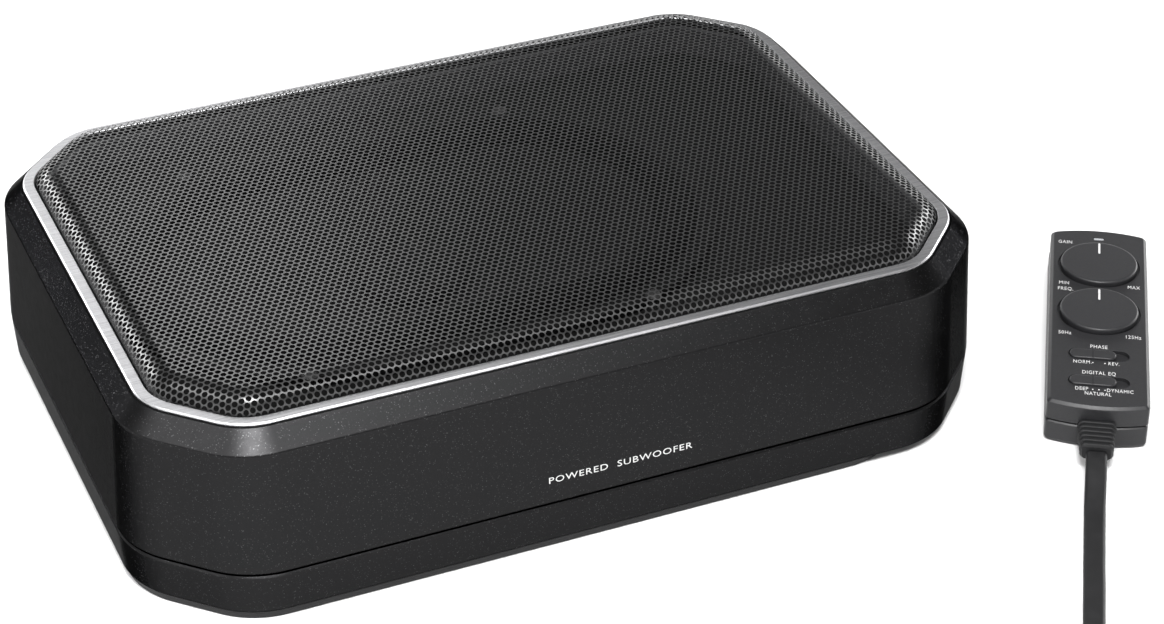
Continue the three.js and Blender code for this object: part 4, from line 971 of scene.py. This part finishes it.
class SUBWOOFER_OT_cabinet(bpy.types.Operator):
    """Builds the upper and lower housings and the base plate"""

    bl_idname = "subwoofer.cabinet"
    bl_label = "Cabinet"

    def execute(self, context):
        edge = context.scene.subwoofer_cabinet.edge_radius / MM
        self.upper(edge)
        self.lower()
        self.base()
        for i in range(1, len(POSTS) + 1):
            finish_node(f"housing_screw_{i}", "screw_steel")
        for i, (x, y) in enumerate(FEET, 1):
            self.foot(i, x, y)
        return {"FINISHED"}

    def upper(self, edge):
        outer = softened([
            (3.2, 17.35, 0.0), (0.6, 17.35, 0.3), (0.1, 17.95, 0.3), (2.1, 57.5, edge), (8.3, 63.8, 0.35),
            (8.3, 62.2, 0.0), (POCKET_INSET, 62.2, 0.3), (POCKET_INSET, BAFFLE_Z[1], 0.0)], 6)
        sections = [(body_outline(inset), z) for inset, z in outer]
        count = len(sections[0][0])
        opening = moved(resampled(racetrack(*SPEAKER_HOLE), count), SPEAKER_X, 0.0)
        first = self.nearest_start(sections[-1][0], opening)
        opening = opening[first:] + opening[:first]
        sections += [(opening, BAFFLE_Z[1]), (opening, BAFFLE_Z[0]), (body_outline(5.2), BAFFLE_Z[0])]
        shell = skinned(sections, ring=True)
        tools = [solid(*block(126.0, 150.0, y - width / 2 - 0.3, y + width / 2 + 0.3, *SOCKET_Z))
                 for y, width in SOCKET_MOUTHS]
        mesh = carved(solid(*shell), tools)
        post = turned([(SCREW_HOLE, 17.4), (5.2, 17.4), (5.2, 49.2), (SCREW_HOLE, 49.2)], 32, True)
        posts = joined(*(shifted(post, x, y) for x, y in POSTS))
        work = bmesh.new()
        work.from_mesh(mesh)
        extra = bpy.data.meshes.new("posts")
        extra.from_pydata([tuple(c * MM for c in v) for v in posts[0]], [], posts[1])
        work.from_mesh(extra)
        work.to_mesh(mesh)
        work.free()
        upper = shown("upper_shell", mesh, "cabinet", "sparkle_paint")
        # Painted shade: the baffle faces inside the pocket, under the grille, get the near-black finish instead of
        # the cabinet paint.
        upper.data.materials.append(finish("pocket_painted_shade"))
        for face in upper.data.polygons:
            x, y, z = face.center / MM
            inset, _ = outline_inset(np.array([[x, y]]))
            if BAFFLE_Z[0] - 0.5 < z < 62.1 and inset[0] > POCKET_INSET - 0.3:
                face.material_index = 1
        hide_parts("upper_housing")

    def nearest_start(self, outline, opening):
        """Where in the opening to begin, so that both loops run side by side."""
        first = Vector(outline[0]).normalized()
        return max(range(len(opening)), key=lambda i: (Vector(opening[i]) - Vector((SPEAKER_X, 0.0))).normalized()
                   .dot(first))

    def lower(self):
        profile = softened([
            (1.6, 3.0, 0.0), (1.0, 3.6, 0.5), (0.2, 16.05, 0.3), (0.7, 16.65, 0.2), (3.2, 16.65, 0.0),
            (3.6, 5.5, 0.0)], 4)
        body = solid(*skinned([(body_outline(inset), z) for inset, z in profile]))
        tools = [drill(SCREW_HOLE, 2.0, 7.0, x, y, 24) for x, y in POSTS]
        lower = shown("lower_shell", carved(body, tools), "cabinet", "sparkle_paint")
        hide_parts("lower_housing")

    def base(self):
        profile = softened([(3.0, 0.0, 0.0), (2.4, 0.3, 0.3), (2.4, 2.4, 0.3), (2.8, 2.7, 0.0)], 3)
        body = solid(*skinned([(base_outline(inset), z) for inset, z in profile]))
        tools = [drill(7.3, -1.0, 1.5, x, y, 48) for x, y in FEET]
        tools += [drill(3.3, -1.0, 1.7, x, y, 32) for x, y in POSTS]
        tools += [drill(SCREW_HOLE, 1.0, 3.5, x, y, 24) for x, y in POSTS]
        base = shown("base_tray", carved(body, tools), "cabinet", "base_plastic")
        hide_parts("base_plate")

    def foot(self, number, x, y):
        profile = [(0.0, 0.0), (5.6, 0.0), (6.4, 0.1), (6.9, 0.45), (7.0, 0.9), (7.0, 1.4), (0.0, 1.4)]
        foot = piece(f"foot_{number}", *shifted(turned(profile, 48), x, y), "cabinet", "rubber", "foot_rubber")
        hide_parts(f"rubber_foot_{number}")


class SUBWOOFER_OT_trim(bpy.types.Operator):
    """Builds the brushed trim ring and the grille's carrier frame"""

    bl_idname = "subwoofer.trim"
    bl_label = "Trim ring"

    def execute(self, context):
        profile = softened([
            (8.6, 62.5, 0.0), (8.6, 63.9, 0.1), (9.05, 64.4, 0.12), (12.0, 64.4, 0.15), (12.2, 64.2, 0.1),
            (12.2, 62.5, 0.0)], 3)
        ring = piece("brushed_ring", *skinned([(body_outline(inset), z) for inset, z in profile], True), "cabinet",
                     "brushed_trim", "brushed_trim", sharp=40.0)
        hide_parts("trim_ring")
        profile = [(13.5, 52.3), (13.5, 62.0), (15.5, 62.0), (15.5, 52.3)]
        carrier = piece("grille_carrier", *skinned([(body_outline(inset), z) for inset, z in profile], True),
                        "cabinet", "black_plastic", "black_plastic")
        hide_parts("grille_frame")
        return {"FINISHED"}


class SUBWOOFER_OT_grille(bpy.types.Operator):
    """Punches the grille's holes and draws its sheet over a pillow edge"""

    bl_idname = "subwoofer.grille"
    bl_label = "Perforated grille"

    strips = 6
    edge, shoulder = 12.5, 21.1

    def execute(self, context):
        settings = context.scene.subwoofer_cabinet
        pitch, hole = settings.hole_pitch / MM, settings.hole_diameter / MM / 2
        table = self.profile()
        rim = self.shoulder - table[-1][0]
        rows = int(2 * BODY_HALF[1] / (pitch * math.sqrt(3) / 2)) + 2
        columns = int(2 * BODY_HALF[0] / pitch) + 2
        side = pitch / math.sqrt(3)
        centres = []
        for row in range(-rows // 2, rows // 2 + 1):
            for column in range(-columns // 2, columns // 2 + 1):
                centres.append(((column + 0.5 * (row % 2)) * pitch, row * pitch * math.sqrt(3) / 2))
        centres = np.array(centres)
        inset, _ = outline_inset(centres)
        keep = inset > rim - side
        centres, inset = centres[keep], inset[keep]
        punched = inset > rim + hole + 0.25
        strip = np.clip(((centres[:, 0] + 128.0) / 256.0 * self.strips).astype(int), 0, self.strips - 1)
        for number in range(self.strips):
            here = strip == number
            self.sheet_strip(number + 1, centres[here], punched[here], side, hole, table, rim, settings.sheet)
        return {"FINISHED"}

    def profile(self):
        """(run along the sheet, inset, z) from the shoulder out to the rim."""
        angles = np.linspace(math.pi / 2, 0, 40)
        insets = self.edge + (self.shoulder - self.edge) * (1 - np.cos(angles))
        heights = 63.2 + 5.7 * np.sin(angles)
        insets, heights = np.append(insets, self.edge), np.append(heights, 62.5)
        run = np.concatenate([[0], np.cumsum(np.hypot(np.diff(insets), np.diff(heights)))])
        return list(zip(run, insets, heights))

    def drawn(self, flat, table, rim, thickness):
        """Flat sheet points drawn over the pillow edge: the top face, its normals and the back face."""
        inset, inward = outline_inset(flat)
        flat = flat + inward * np.maximum(rim - inset, 0)[:, None]
        inset = np.maximum(inset, rim)
        runs, insets, heights = (np.array(column) for column in zip(*table))
        run = np.clip(self.shoulder - inset, 0, runs[-1])
        moved_in = np.where(inset < self.shoulder, np.interp(run, runs, insets) - inset, 0)
        u, v = np.abs(flat[:, 0]) / 118.9, np.abs(flat[:, 1]) / 78.9
        crown = 1.1 * np.clip(1 - u ** 3, 0, 1) * np.clip(1 - v ** 3, 0, 1)
        top = np.column_stack([flat + inward * moved_in[:, None], np.interp(run, runs, heights) + crown])
        slope = np.where(inset < self.shoulder, (run / runs[-2]).clip(0, 1) * math.pi / 2, 0)
        normals = np.column_stack([-inward * np.sin(slope)[:, None], np.cos(slope)])
        return top, normals, top - normals * thickness

    def sheet_strip(self, number, centres, punched, side, hole, table, rim, thickness):
        """One strip of the sheet: a punched cell has six faces round its hole, front and back, and the wall."""
        corner = np.array([(side * math.cos(a), side * math.sin(a)) for a in np.radians(np.arange(30, 390, 60))])
        ring = np.array([(hole * math.cos(a), hole * math.sin(a)) for a in np.radians(np.arange(30, 390, 30))])
        whole, open_cells = centres[~punched], centres[punched]
        corners = (centres[:, None] + corner).reshape(-1, 2)
        keys, first, index = np.unique(np.round(corners * 20), axis=0, return_index=True, return_inverse=True)
        rings = (open_cells[:, None] + ring).reshape(-1, 2)
        flat = np.concatenate([corners[first], rings])
        top, normals, back = self.drawn(flat, table, rim, thickness)
        total = len(flat)
        index = index.reshape(-1, 6)
        around = (len(first) + np.arange(len(rings))).reshape(-1, 12)
        cells = index[punched]
        fives = np.stack([np.stack([
            cells[:, i], cells[:, (i + 1) % 6], around[:, (2 * i + 2) % 12], around[:, 2 * i + 1],
            around[:, 2 * i]], 1) for i in range(6)], 1).reshape(-1, 5)
        walls = np.stack([np.stack([
            around[:, i], around[:, (i + 1) % 12], around[:, (i + 1) % 12] + total,
            around[:, i] + total], 1) for i in range(12)], 1).reshape(-1, 4)
        faces = [*map(tuple, index[~punched].tolist()), *map(tuple, fives.tolist())]
        faces += [tuple(i + total for i in reversed(face)) for face in faces]
        corner_normals = [normals[i] if i < total else -normals[i - total] for face in faces for i in face]
        facing = ring / -hole
        wall_normals = np.concatenate([facing[[i, (i + 1) % 12, (i + 1) % 12, i]] for i in range(12)])
        wall_normals = np.column_stack([wall_normals, np.zeros(len(wall_normals))])
        corner_normals += list(np.tile(wall_normals, (len(open_cells), 1)))
        faces += map(tuple, walls.tolist())
        mesh = bpy.data.meshes.new(f"grille_sheet_{number}")
        mesh.from_pydata((np.concatenate([top, back]) * MM).tolist(), [], faces)
        mesh.shade_smooth()
        mesh.normals_split_custom_set([tuple(n) for n in corner_normals])
        mesh.materials.append(finish("mesh_enamel"))
        obj = bpy.data.objects.new(f"grille_sheet_{number}", mesh)
        bpy.context.scene.collection.objects.link(obj)
        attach(obj, "cabinet")
        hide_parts("grille_mesh")


class SUBWOOFER_OT_front_words(bpy.types.Operator):
    """Prints the plain words on the cabinet's front wall"""

    bl_idname = "subwoofer.front_words"
    bl_label = "Front words"

    def execute(self, context):
        lean = math.atan2(2.0, 39.55)
        z = 25.5
        y = -(100.0 - 0.1 - (z - 17.95) / 39.55 * 2.0) - 0.02
        upright = Matrix.Rotation(math.pi / 2 - lean, 4, "X")
        place = Matrix.Translation((0.004, y * MM, z * MM)) @ upright
        lettering("front_words", "POWERED  SUBWOOFER", 2.1, place, "cabinet", 1.25)
        return {"FINISHED"}


class SUBWOOFER_OT_woofer(bpy.types.Operator):
    """Builds the woofer's moving suspension and finishes its metalwork"""

    bl_idname = "subwoofer.woofer"
    bl_label = "Woofer"

    def execute(self, context):
        for node, material in (
                ("speaker_gasket", "surround_rubber"), ("basket", "basket_paint"), ("yoke", "plated_steel"),
                ("magnet", "ferrite_block"), ("top_plate", "plated_steel"), ("coil_former", "former_film"),
                ("voice_coil", "wound_copper"), *((f"speaker_screw_{i}", "blackened_screw") for i in range(1, 5))):
            finish_node(node, material)
        self.surround()
        self.spider()
        self.cone()
        self.dust_cap()
        return {"FINISHED"}

    def surround(self):
        base, roll = 55.7, 4.5

        def arc(radius, z):
            return [(roll + radius * math.cos(a), z + radius * math.sin(a)) for a in np.linspace(math.pi, 0, 13)]

        profile = [(-3.0, base), *arc(roll - 0.8, base), (11.0, base), (11.0, base + 0.8),
                   *reversed(arc(roll, base + 0.8)), (-3.0, base + 0.8)]
        rings = [(moved(racetrack(82.0 + out, 48.0 + out, 24), SPEAKER_X, 0.0), z) for out, z in profile]
        obj = piece("surround_roll", *skinned(rings, True), None, "rubber", "surround_rubber")
        self.hang(obj, rings, lambda out: np.clip(1 - out / 9.0, 0, 1), [out for out, _ in profile])
        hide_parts("surround")

    def spider(self):
        radii = np.linspace(16.1, 32.0, 49)
        waves = 34.0 + 0.9 * np.sin((radii - 16.1) / (32.0 - 16.1) * math.pi * 4)
        middle = [(13.6, 34.0), *zip(radii, waves), (34.5, 34.0)]
        profile = [(r, z + 0.35) for r, z in middle] + [(r, z - 0.35) for r, z in reversed(middle)]
        vertices, faces = turned(profile, 64, True)
        obj = piece("spider_cloth", *shifted((vertices, faces), SPEAKER_X), None, "spider_cloth", "spider_cloth")
        self.hang(obj, None, lambda r: np.clip((32.0 - r) / (32.0 - 16.1), 0, 1), [r for r, _ in profile])
        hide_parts("spider")

    def hang(self, obj, rings, share, outs):
        """Bakes the suspension's placement into its mesh and works out each ring of vertices' share between the
        cabinet and the cone; nothing is bent with these shares.
        """
        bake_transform(obj)
        count = len(obj.data.vertices) // len(outs)
        weights = np.repeat(share(np.array(outs, float)), count)
        weights = weights * weights * (3 - 2 * weights)

    def cone(self):
        def levels(lift):
            return [(19.0, 19.0, 39.6 + lift), (34.0, 26.4, 43.4 + lift), (50.0, 34.0, 46.5 + lift),
                    (67.0, 41.3, 50.6 + lift), (82.0, 48.0, 54.4 + lift)]

        under = [(13.6, 13.6, 38.0), (14.4, 14.4, 38.0), *levels(0.0), (82.0, 48.0, 55.4)]
        over = [(81.2, 47.2, 55.4), *reversed(levels(1.0)[:-1]), (13.6, 13.6, 39.0)]
        rings = [(moved(racetrack(x, y, 24), SPEAKER_X, 0.0), z) for x, y, z in [*under, *over]]
        obj = piece("cone_body", *skinned(rings, True), "cone_assembly", "cone_paper", "cone_paper", sharp=60.0)
        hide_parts("cone")

    def dust_cap(self):
        angles = np.linspace(0, math.pi / 2, 14)
        outer = [(17.0 * math.cos(a), 40.9 + 7.0 * math.sin(a)) for a in angles[:-1]] + [(0.0, 47.9)]
        inner = [(0.0, 47.1)] + [(16.2 * math.cos(a), 40.9 + 6.2 * math.sin(a)) for a in reversed(angles[:-1])]
        vertices, faces = turned([*outer, *inner], 64, True)
        obj = piece("dust_dome", *shifted((vertices, faces), SPEAKER_X), "cone_assembly", "cone_paper", "cone_paper")
        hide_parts("dust_cap")


class SUBWOOFER_OT_amplifier(bpy.types.Operator):
    """Finishes the amplifier's board, parts and sockets"""

    bl_idname = "subwoofer.amplifier"
    bl_label = "Amplifier and sockets"

    def execute(self, context):
        for node, material in (
                ("amplifier_board", "circuit_board"), ("board_screw_1", "screw_steel"),
                ("board_screw_2", "screw_steel"), ("heatsink", "heatsink_aluminium"),
                ("capacitor_1", "capacitor_sleeve"), ("capacitor_2", "capacitor_sleeve"),
                ("output_choke", "wound_copper"), ("power_socket", "black_plastic"),
                ("remote_jack", "black_plastic"), ("line_inputs", "black_plastic")):
            finish_node(node, material)
        return {"FINISHED"}


class SUBWOOFER_OT_remote_case(bpy.types.Operator):
    """Builds the remote control's cover, back, lens and ribbed boot"""

    bl_idname = "subwoofer.remote_case"
    bl_label = "Remote case"

    def execute(self, context):
        self.cover()
        self.back()
        self.lens()
        self.boot()
        for node, material in (
                ("remote_board", "circuit_board"), ("gain_pot", "black_plastic"), ("freq_pot", "black_plastic"),
                ("phase_switch", "black_plastic"), ("eq_switch", "black_plastic"), ("remote_screw_1", "screw_steel"),
                ("remote_screw_2", "screw_steel")):
            finish_node(node, material)
        return {"FINISHED"}

    def outline(self, inset):
        arch_radius = (REMOTE_HALF_WIDTH ** 2 + REMOTE_ARCH ** 2) / (2 * REMOTE_ARCH)
        x = REMOTE_HALF_WIDTH - inset

        def arch(along):
            return arch_radius - math.sqrt(arch_radius ** 2 - along ** 2)

        corner = 1.6
        steps = np.linspace(-1, 1, 17) * (x - corner * 0.6)
        near = [(s, inset + arch(s)) for s in steps]
        far = [(-s, REMOTE_LENGTH - inset - arch(s)) for s in steps]

        def bend(a, c, b):
            return [tuple((1 - t) ** 2 * np.array(a) + 2 * t * (1 - t) * np.array(c) + t * t * np.array(b))
                    for t in (0.25, 0.5, 0.75)]

        low, high = inset + arch(x), REMOTE_LENGTH - inset - arch(x)
        return [*near, *bend(near[-1], (x, low), (x, low + corner)), (x, low + corner),
                (x, high - corner), *bend((x, high - corner), (x, high), far[0]),
                *far, *bend(far[-1], (-x, high), (-x, high - corner)), (-x, high - corner),
                (-x, low + corner), *bend((-x, low + corner), (-x, low), near[0])]

    def cover(self):
        profile = softened([(3.0, 8.1, 0.0), (0.5, 8.1, 0.2), (0.0, 8.6, 0.3), (0.0, 14.5, 0.6), (1.0, 15.5, 0.5),
                            (2.6, 15.5, 0.0)], 5)
        body = solid(*skinned([(self.outline(inset), z) for inset, z in profile]))
        tools = [solid(*skinned([(self.outline(1.8), 7.0), (self.outline(2.2), 12.6)]))]
        for y in (GAIN_Y, FREQ_Y):
            tools.append(drill(RECESS_RADIUS, RECESS_Z, 17.0, 0.0, y, 96))
            tools.append(drill(3.4, 11.0, 15.0, 0.0, y, 32))
        for y in (PHASE_Y, EQ_Y):
            for length, width, low in ((19.4, 6.0, 14.2), (7.8, 2.6, 11.0)):
                outline = moved(racetrack(length / 2, width / 2, 12), 0.0, y)
                tools.append(solid(*skinned([(outline, low), (outline, 17.0)])))
        hole = moved(racetrack(1.95, 0.8, 10), 0.0, LENS_Y)
        tools.append(solid(*skinned([(hole, 11.0), (hole, 17.0)])))
        tools.append(solid(*block(-4.3, 4.3, -1.0, 5.8, 5.4, 10.2)))
        mesh = carved(body, tools)
        cover = shown("remote_shell", mesh, "cabinet", "remote_case", REMOTE_PLACE)
        edge_softened(cover, 0.14, 2, 40.0)
        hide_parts("remote_cover")

    def back(self):
        profile = softened([(3.0, 0.0, 0.0), (1.2, 0.0, 0.4), (0.3, 0.6, 0.5), (0.0, 1.5, 0.5), (0.0, 7.3, 0.3),
                            (0.5, 7.8, 0.2), (1.8, 7.8, 0.0), (2.2, 1.8, 0.0)], 4)
        body = solid(*skinned([(self.outline(inset), z) for inset, z in profile]))
        tools = []
        for y in (22.3, 69.65):
            tools.append(drill(2.4, -1.0, 1.5, 0.0, y, 32))
            tools.append(drill(1.4, -1.0, 3.0, 0.0, y, 24))
        tools.append(solid(*block(-4.3, 4.3, -1.0, 5.8, 5.4, 9.2)))
        back = shown("remote_rear", carved(body, tools), "cabinet", "remote_case", REMOTE_PLACE)
        edge_softened(back, 0.12, 2, 40.0)
        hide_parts("remote_back")

    def lens(self):
        sections = [(moved(racetrack(1.7 - i, 0.55 - i, 10), 0.0, LENS_Y), z)
                    for i, z in ((0.0, 7.6), (0.0, 15.35), (0.06, 15.5), (0.2, 15.55))]
        lens = piece("power_light", *skinned(sections), "cabinet", "lens", "indicator_lens", REMOTE_PLACE)
        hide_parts("power_lens")

    def boot(self):
        ribs, length = 6, 13.5
        pitch = length / ribs
        sections = []

        def section(half_x, half_z, y):
            return [(x, -0.3 - y, 7.8 + z) for x, z in rectangle(half_x, half_z, min(half_x, half_z) * 0.6, 6)]

        for rib in range(ribs):
            share = rib / (ribs - 1)
            half_x, half_z = 6.1 - 0.9 * share, (6.4 - share) / 2
            y = rib * pitch
            for at, less in ((0.0, 0.25), (0.08, 0.06), (0.16, 0.0), (0.44, 0.0), (0.52, 0.06), (0.60, 0.25)):
                sections.append(section(half_x - less, half_z - less, y + at * pitch))
            if rib < ribs - 1:
                sections.append(section(half_x - 1.0, half_z - 0.7, y + 0.64 * pitch))
                sections.append(section(half_x - 1.0, half_z - 0.7, y + 0.94 * pitch))
        sections.append(section(4.5, 2.2, length))
        vertices = [v for s in sections for v in s]
        faces = sleeve_faces(len(sections), len(sections[0]))
        neck = block(-4.0, 4.0, -0.5, 3.3, 5.7, 9.9)
        boot = piece("ribbed_boot", *joined((vertices, faces), neck), "cabinet", "rubber", "boot_rubber",
                     REMOTE_PLACE, sharp=38.0)
        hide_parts("strain_relief")


class SUBWOOFER_OT_controls(bpy.types.Operator):
    """Builds the knobs and the slide switches' caps"""

    bl_idname = "subwoofer.controls"
    bl_label = "Knobs and sliders"

    def execute(self, context):
        for name, y in (("gain_knob", GAIN_Y), ("freq_knob", FREQ_Y)):
            self.knob(name, y)
        for name, y in (("phase_slider", PHASE_Y), ("eq_slider", EQ_Y)):
            self.slider(name, y)
        return {"FINISHED"}

    def knob(self, name, y):
        top = 17.1
        profile = [(0.0, 10.8), (3.0, 10.8), (3.0, 14.7), (12.4, 14.7), (12.62, 14.78), (12.7, 15.0), (12.7, 16.3),
                   (12.64, 16.6), (12.48, 16.85), (12.25, 17.02), (12.0, 17.08), (11.7, top), (0.0, top)]
        body = solid(*turned(profile, 128))
        line = moved(rectangle(0.35, 3.3, 0.3, 4), 0.0, 8.5)
        mesh = carved(body, [solid(*skinned([(line, top - 0.3), (line, top + 1.0)]))])
        place = REMOTE_PLACE @ Matrix.Translation((0.0, y * MM, 0.0))
        knob = shown(name + "_cap", mesh, name, "knob_plastic", place, sharp=40.0)
        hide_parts(name)
        inlay = moved(rectangle(0.34, 3.29, 0.29, 4), 0.0, 8.5)
        piece(name + "_line", *skinned([(inlay, top - 0.28), (inlay, top - 0.03)]), name, "lens", "print_ink", place)

    def slider(self, name, y):
        sections = [(racetrack(7.4 - i, 2.5 - i, 14), z)
                    for i, z in ((0.0, 14.5), (0.0, 15.55), (0.1, 15.8), (0.28, 15.95), (0.5, 16.0))]
        stem = skinned([(rectangle(1.5, 0.8, 0.2, 2), 11.0), (rectangle(1.5, 0.8, 0.2, 2), 15.0)])
        body = solid(*skinned(sections))
        groove = solid(*block(-0.25, 0.25, -3.0, 3.0, 15.75, 17.0))
        mesh = carved(body, [groove])
        work = bmesh.new()
        work.from_mesh(mesh)
        extra = bpy.data.meshes.new("stem")
        extra.from_pydata([tuple(c * MM for c in v) for v in stem[0]], [], stem[1])
        work.from_mesh(extra)
        work.to_mesh(mesh)
        work.free()
        place = REMOTE_PLACE @ Matrix.Translation((SLIDER_REST_X * MM, y * MM, 0.0))
        cap = shown(name + "_cap", mesh, name, "knob_plastic", place, sharp=40.0)
        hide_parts(name)


class SUBWOOFER_OT_remote_words(bpy.types.Operator):
    """Prints the words beside the knobs and switches"""

    bl_idname = "subwoofer.remote_words"
    bl_label = "Remote words"

    def execute(self, context):
        words = [
            ("GAIN", -11.2, 97.9, 1.9), ("MIN", -11.4, 71.8, 1.9), ("MAX", 11.4, 71.8, 1.9),
            ("FREQ.", -10.9, 68.2, 1.9), ("50Hz", -10.9, 41.6, 1.9), ("125Hz", 10.9, 41.6, 1.9),
            ("PHASE", 0.0, 34.5, 1.9), ("NORM.", -5.2, 25.2, 1.8), ("REV.", 4.7, 25.2, 1.8),
            ("DIGITAL EQ", 0.0, 19.4, 1.9), ("DEEP", -5.4, 10.0, 1.8), ("DYNAMIC", 6.6, 10.0, 1.8),
            ("NATURAL", -0.3, 7.6, 1.8)]
        for number, (text, x, y, height) in enumerate(words, 1):
            place = REMOTE_PLACE @ Matrix.Translation((x * MM, y * MM, (FACE_Z + 0.012) * MM))
            lettering(f"remote_word_{number}", text, height, place, "cabinet", 0.66)
        dots = joined(*(shifted(turned([(0.0, 15.49), (0.26, 15.49), (0.26, 15.52), (0.0, 15.52)], 16), x, y)
                        for x, y in ((-1.9, 25.2), (1.9, 25.2), (-1.9, 10.0), (0.0, 10.0), (1.9, 10.0))))
        piece("remote_dots", *dots, "cabinet", None, "print_ink", REMOTE_PLACE)
        return {"FINISHED"}


# ---------------------------------------------------------------- panel and registration
OPERATORS = (
    SUBWOOFER_OT_stage, SUBWOOFER_OT_cord, SUBWOOFER_OT_cabinet, SUBWOOFER_OT_trim, SUBWOOFER_OT_grille,
    SUBWOOFER_OT_front_words, SUBWOOFER_OT_woofer, SUBWOOFER_OT_amplifier, SUBWOOFER_OT_remote_case,
    SUBWOOFER_OT_controls, SUBWOOFER_OT_remote_words)


class SUBWOOFER_PT_panel(bpy.types.Panel):
    """The subwoofer's sizes, colours and builders"""

    bl_idname = "SUBWOOFER_PT_panel"
    bl_label = "Powered subwoofer"
    bl_space_type = "VIEW_3D"
    bl_region_type = "UI"
    bl_category = "Subwoofer"

    def draw(self, context):
        scene = context.scene
        for settings in (scene.subwoofer_cabinet, scene.subwoofer_cord, scene.subwoofer_finishes):
            box = self.layout.box()
            for name in settings.__annotations__:
                box.prop(settings, name)
        for operator in OPERATORS:
            self.layout.operator(operator.bl_idname)


SETTINGS = {
    "subwoofer_cabinet": CabinetSettings,
    "subwoofer_cord": CordSettings,
    "subwoofer_finishes": FinishSettings,
}


def register():
    for group in SETTINGS.values():
        bpy.utils.register_class(group)
    for name, group in SETTINGS.items():
        setattr(bpy.types.Scene, name, PointerProperty(type=group))
    for operator in OPERATORS:
        bpy.utils.register_class(operator)
    bpy.utils.register_class(SUBWOOFER_PT_panel)


def unregister():
    bpy.utils.unregister_class(SUBWOOFER_PT_panel)
    for operator in reversed(OPERATORS):
        bpy.utils.unregister_class(operator)
    for name, group in SETTINGS.items():
        delattr(bpy.types.Scene, name)
        bpy.utils.unregister_class(group)


def main():
    register()
    for operator in OPERATORS:
        group, name = operator.bl_idname.split(".")
        getattr(getattr(bpy.ops, group), name)()


if __name__ == "__main__":
    main()
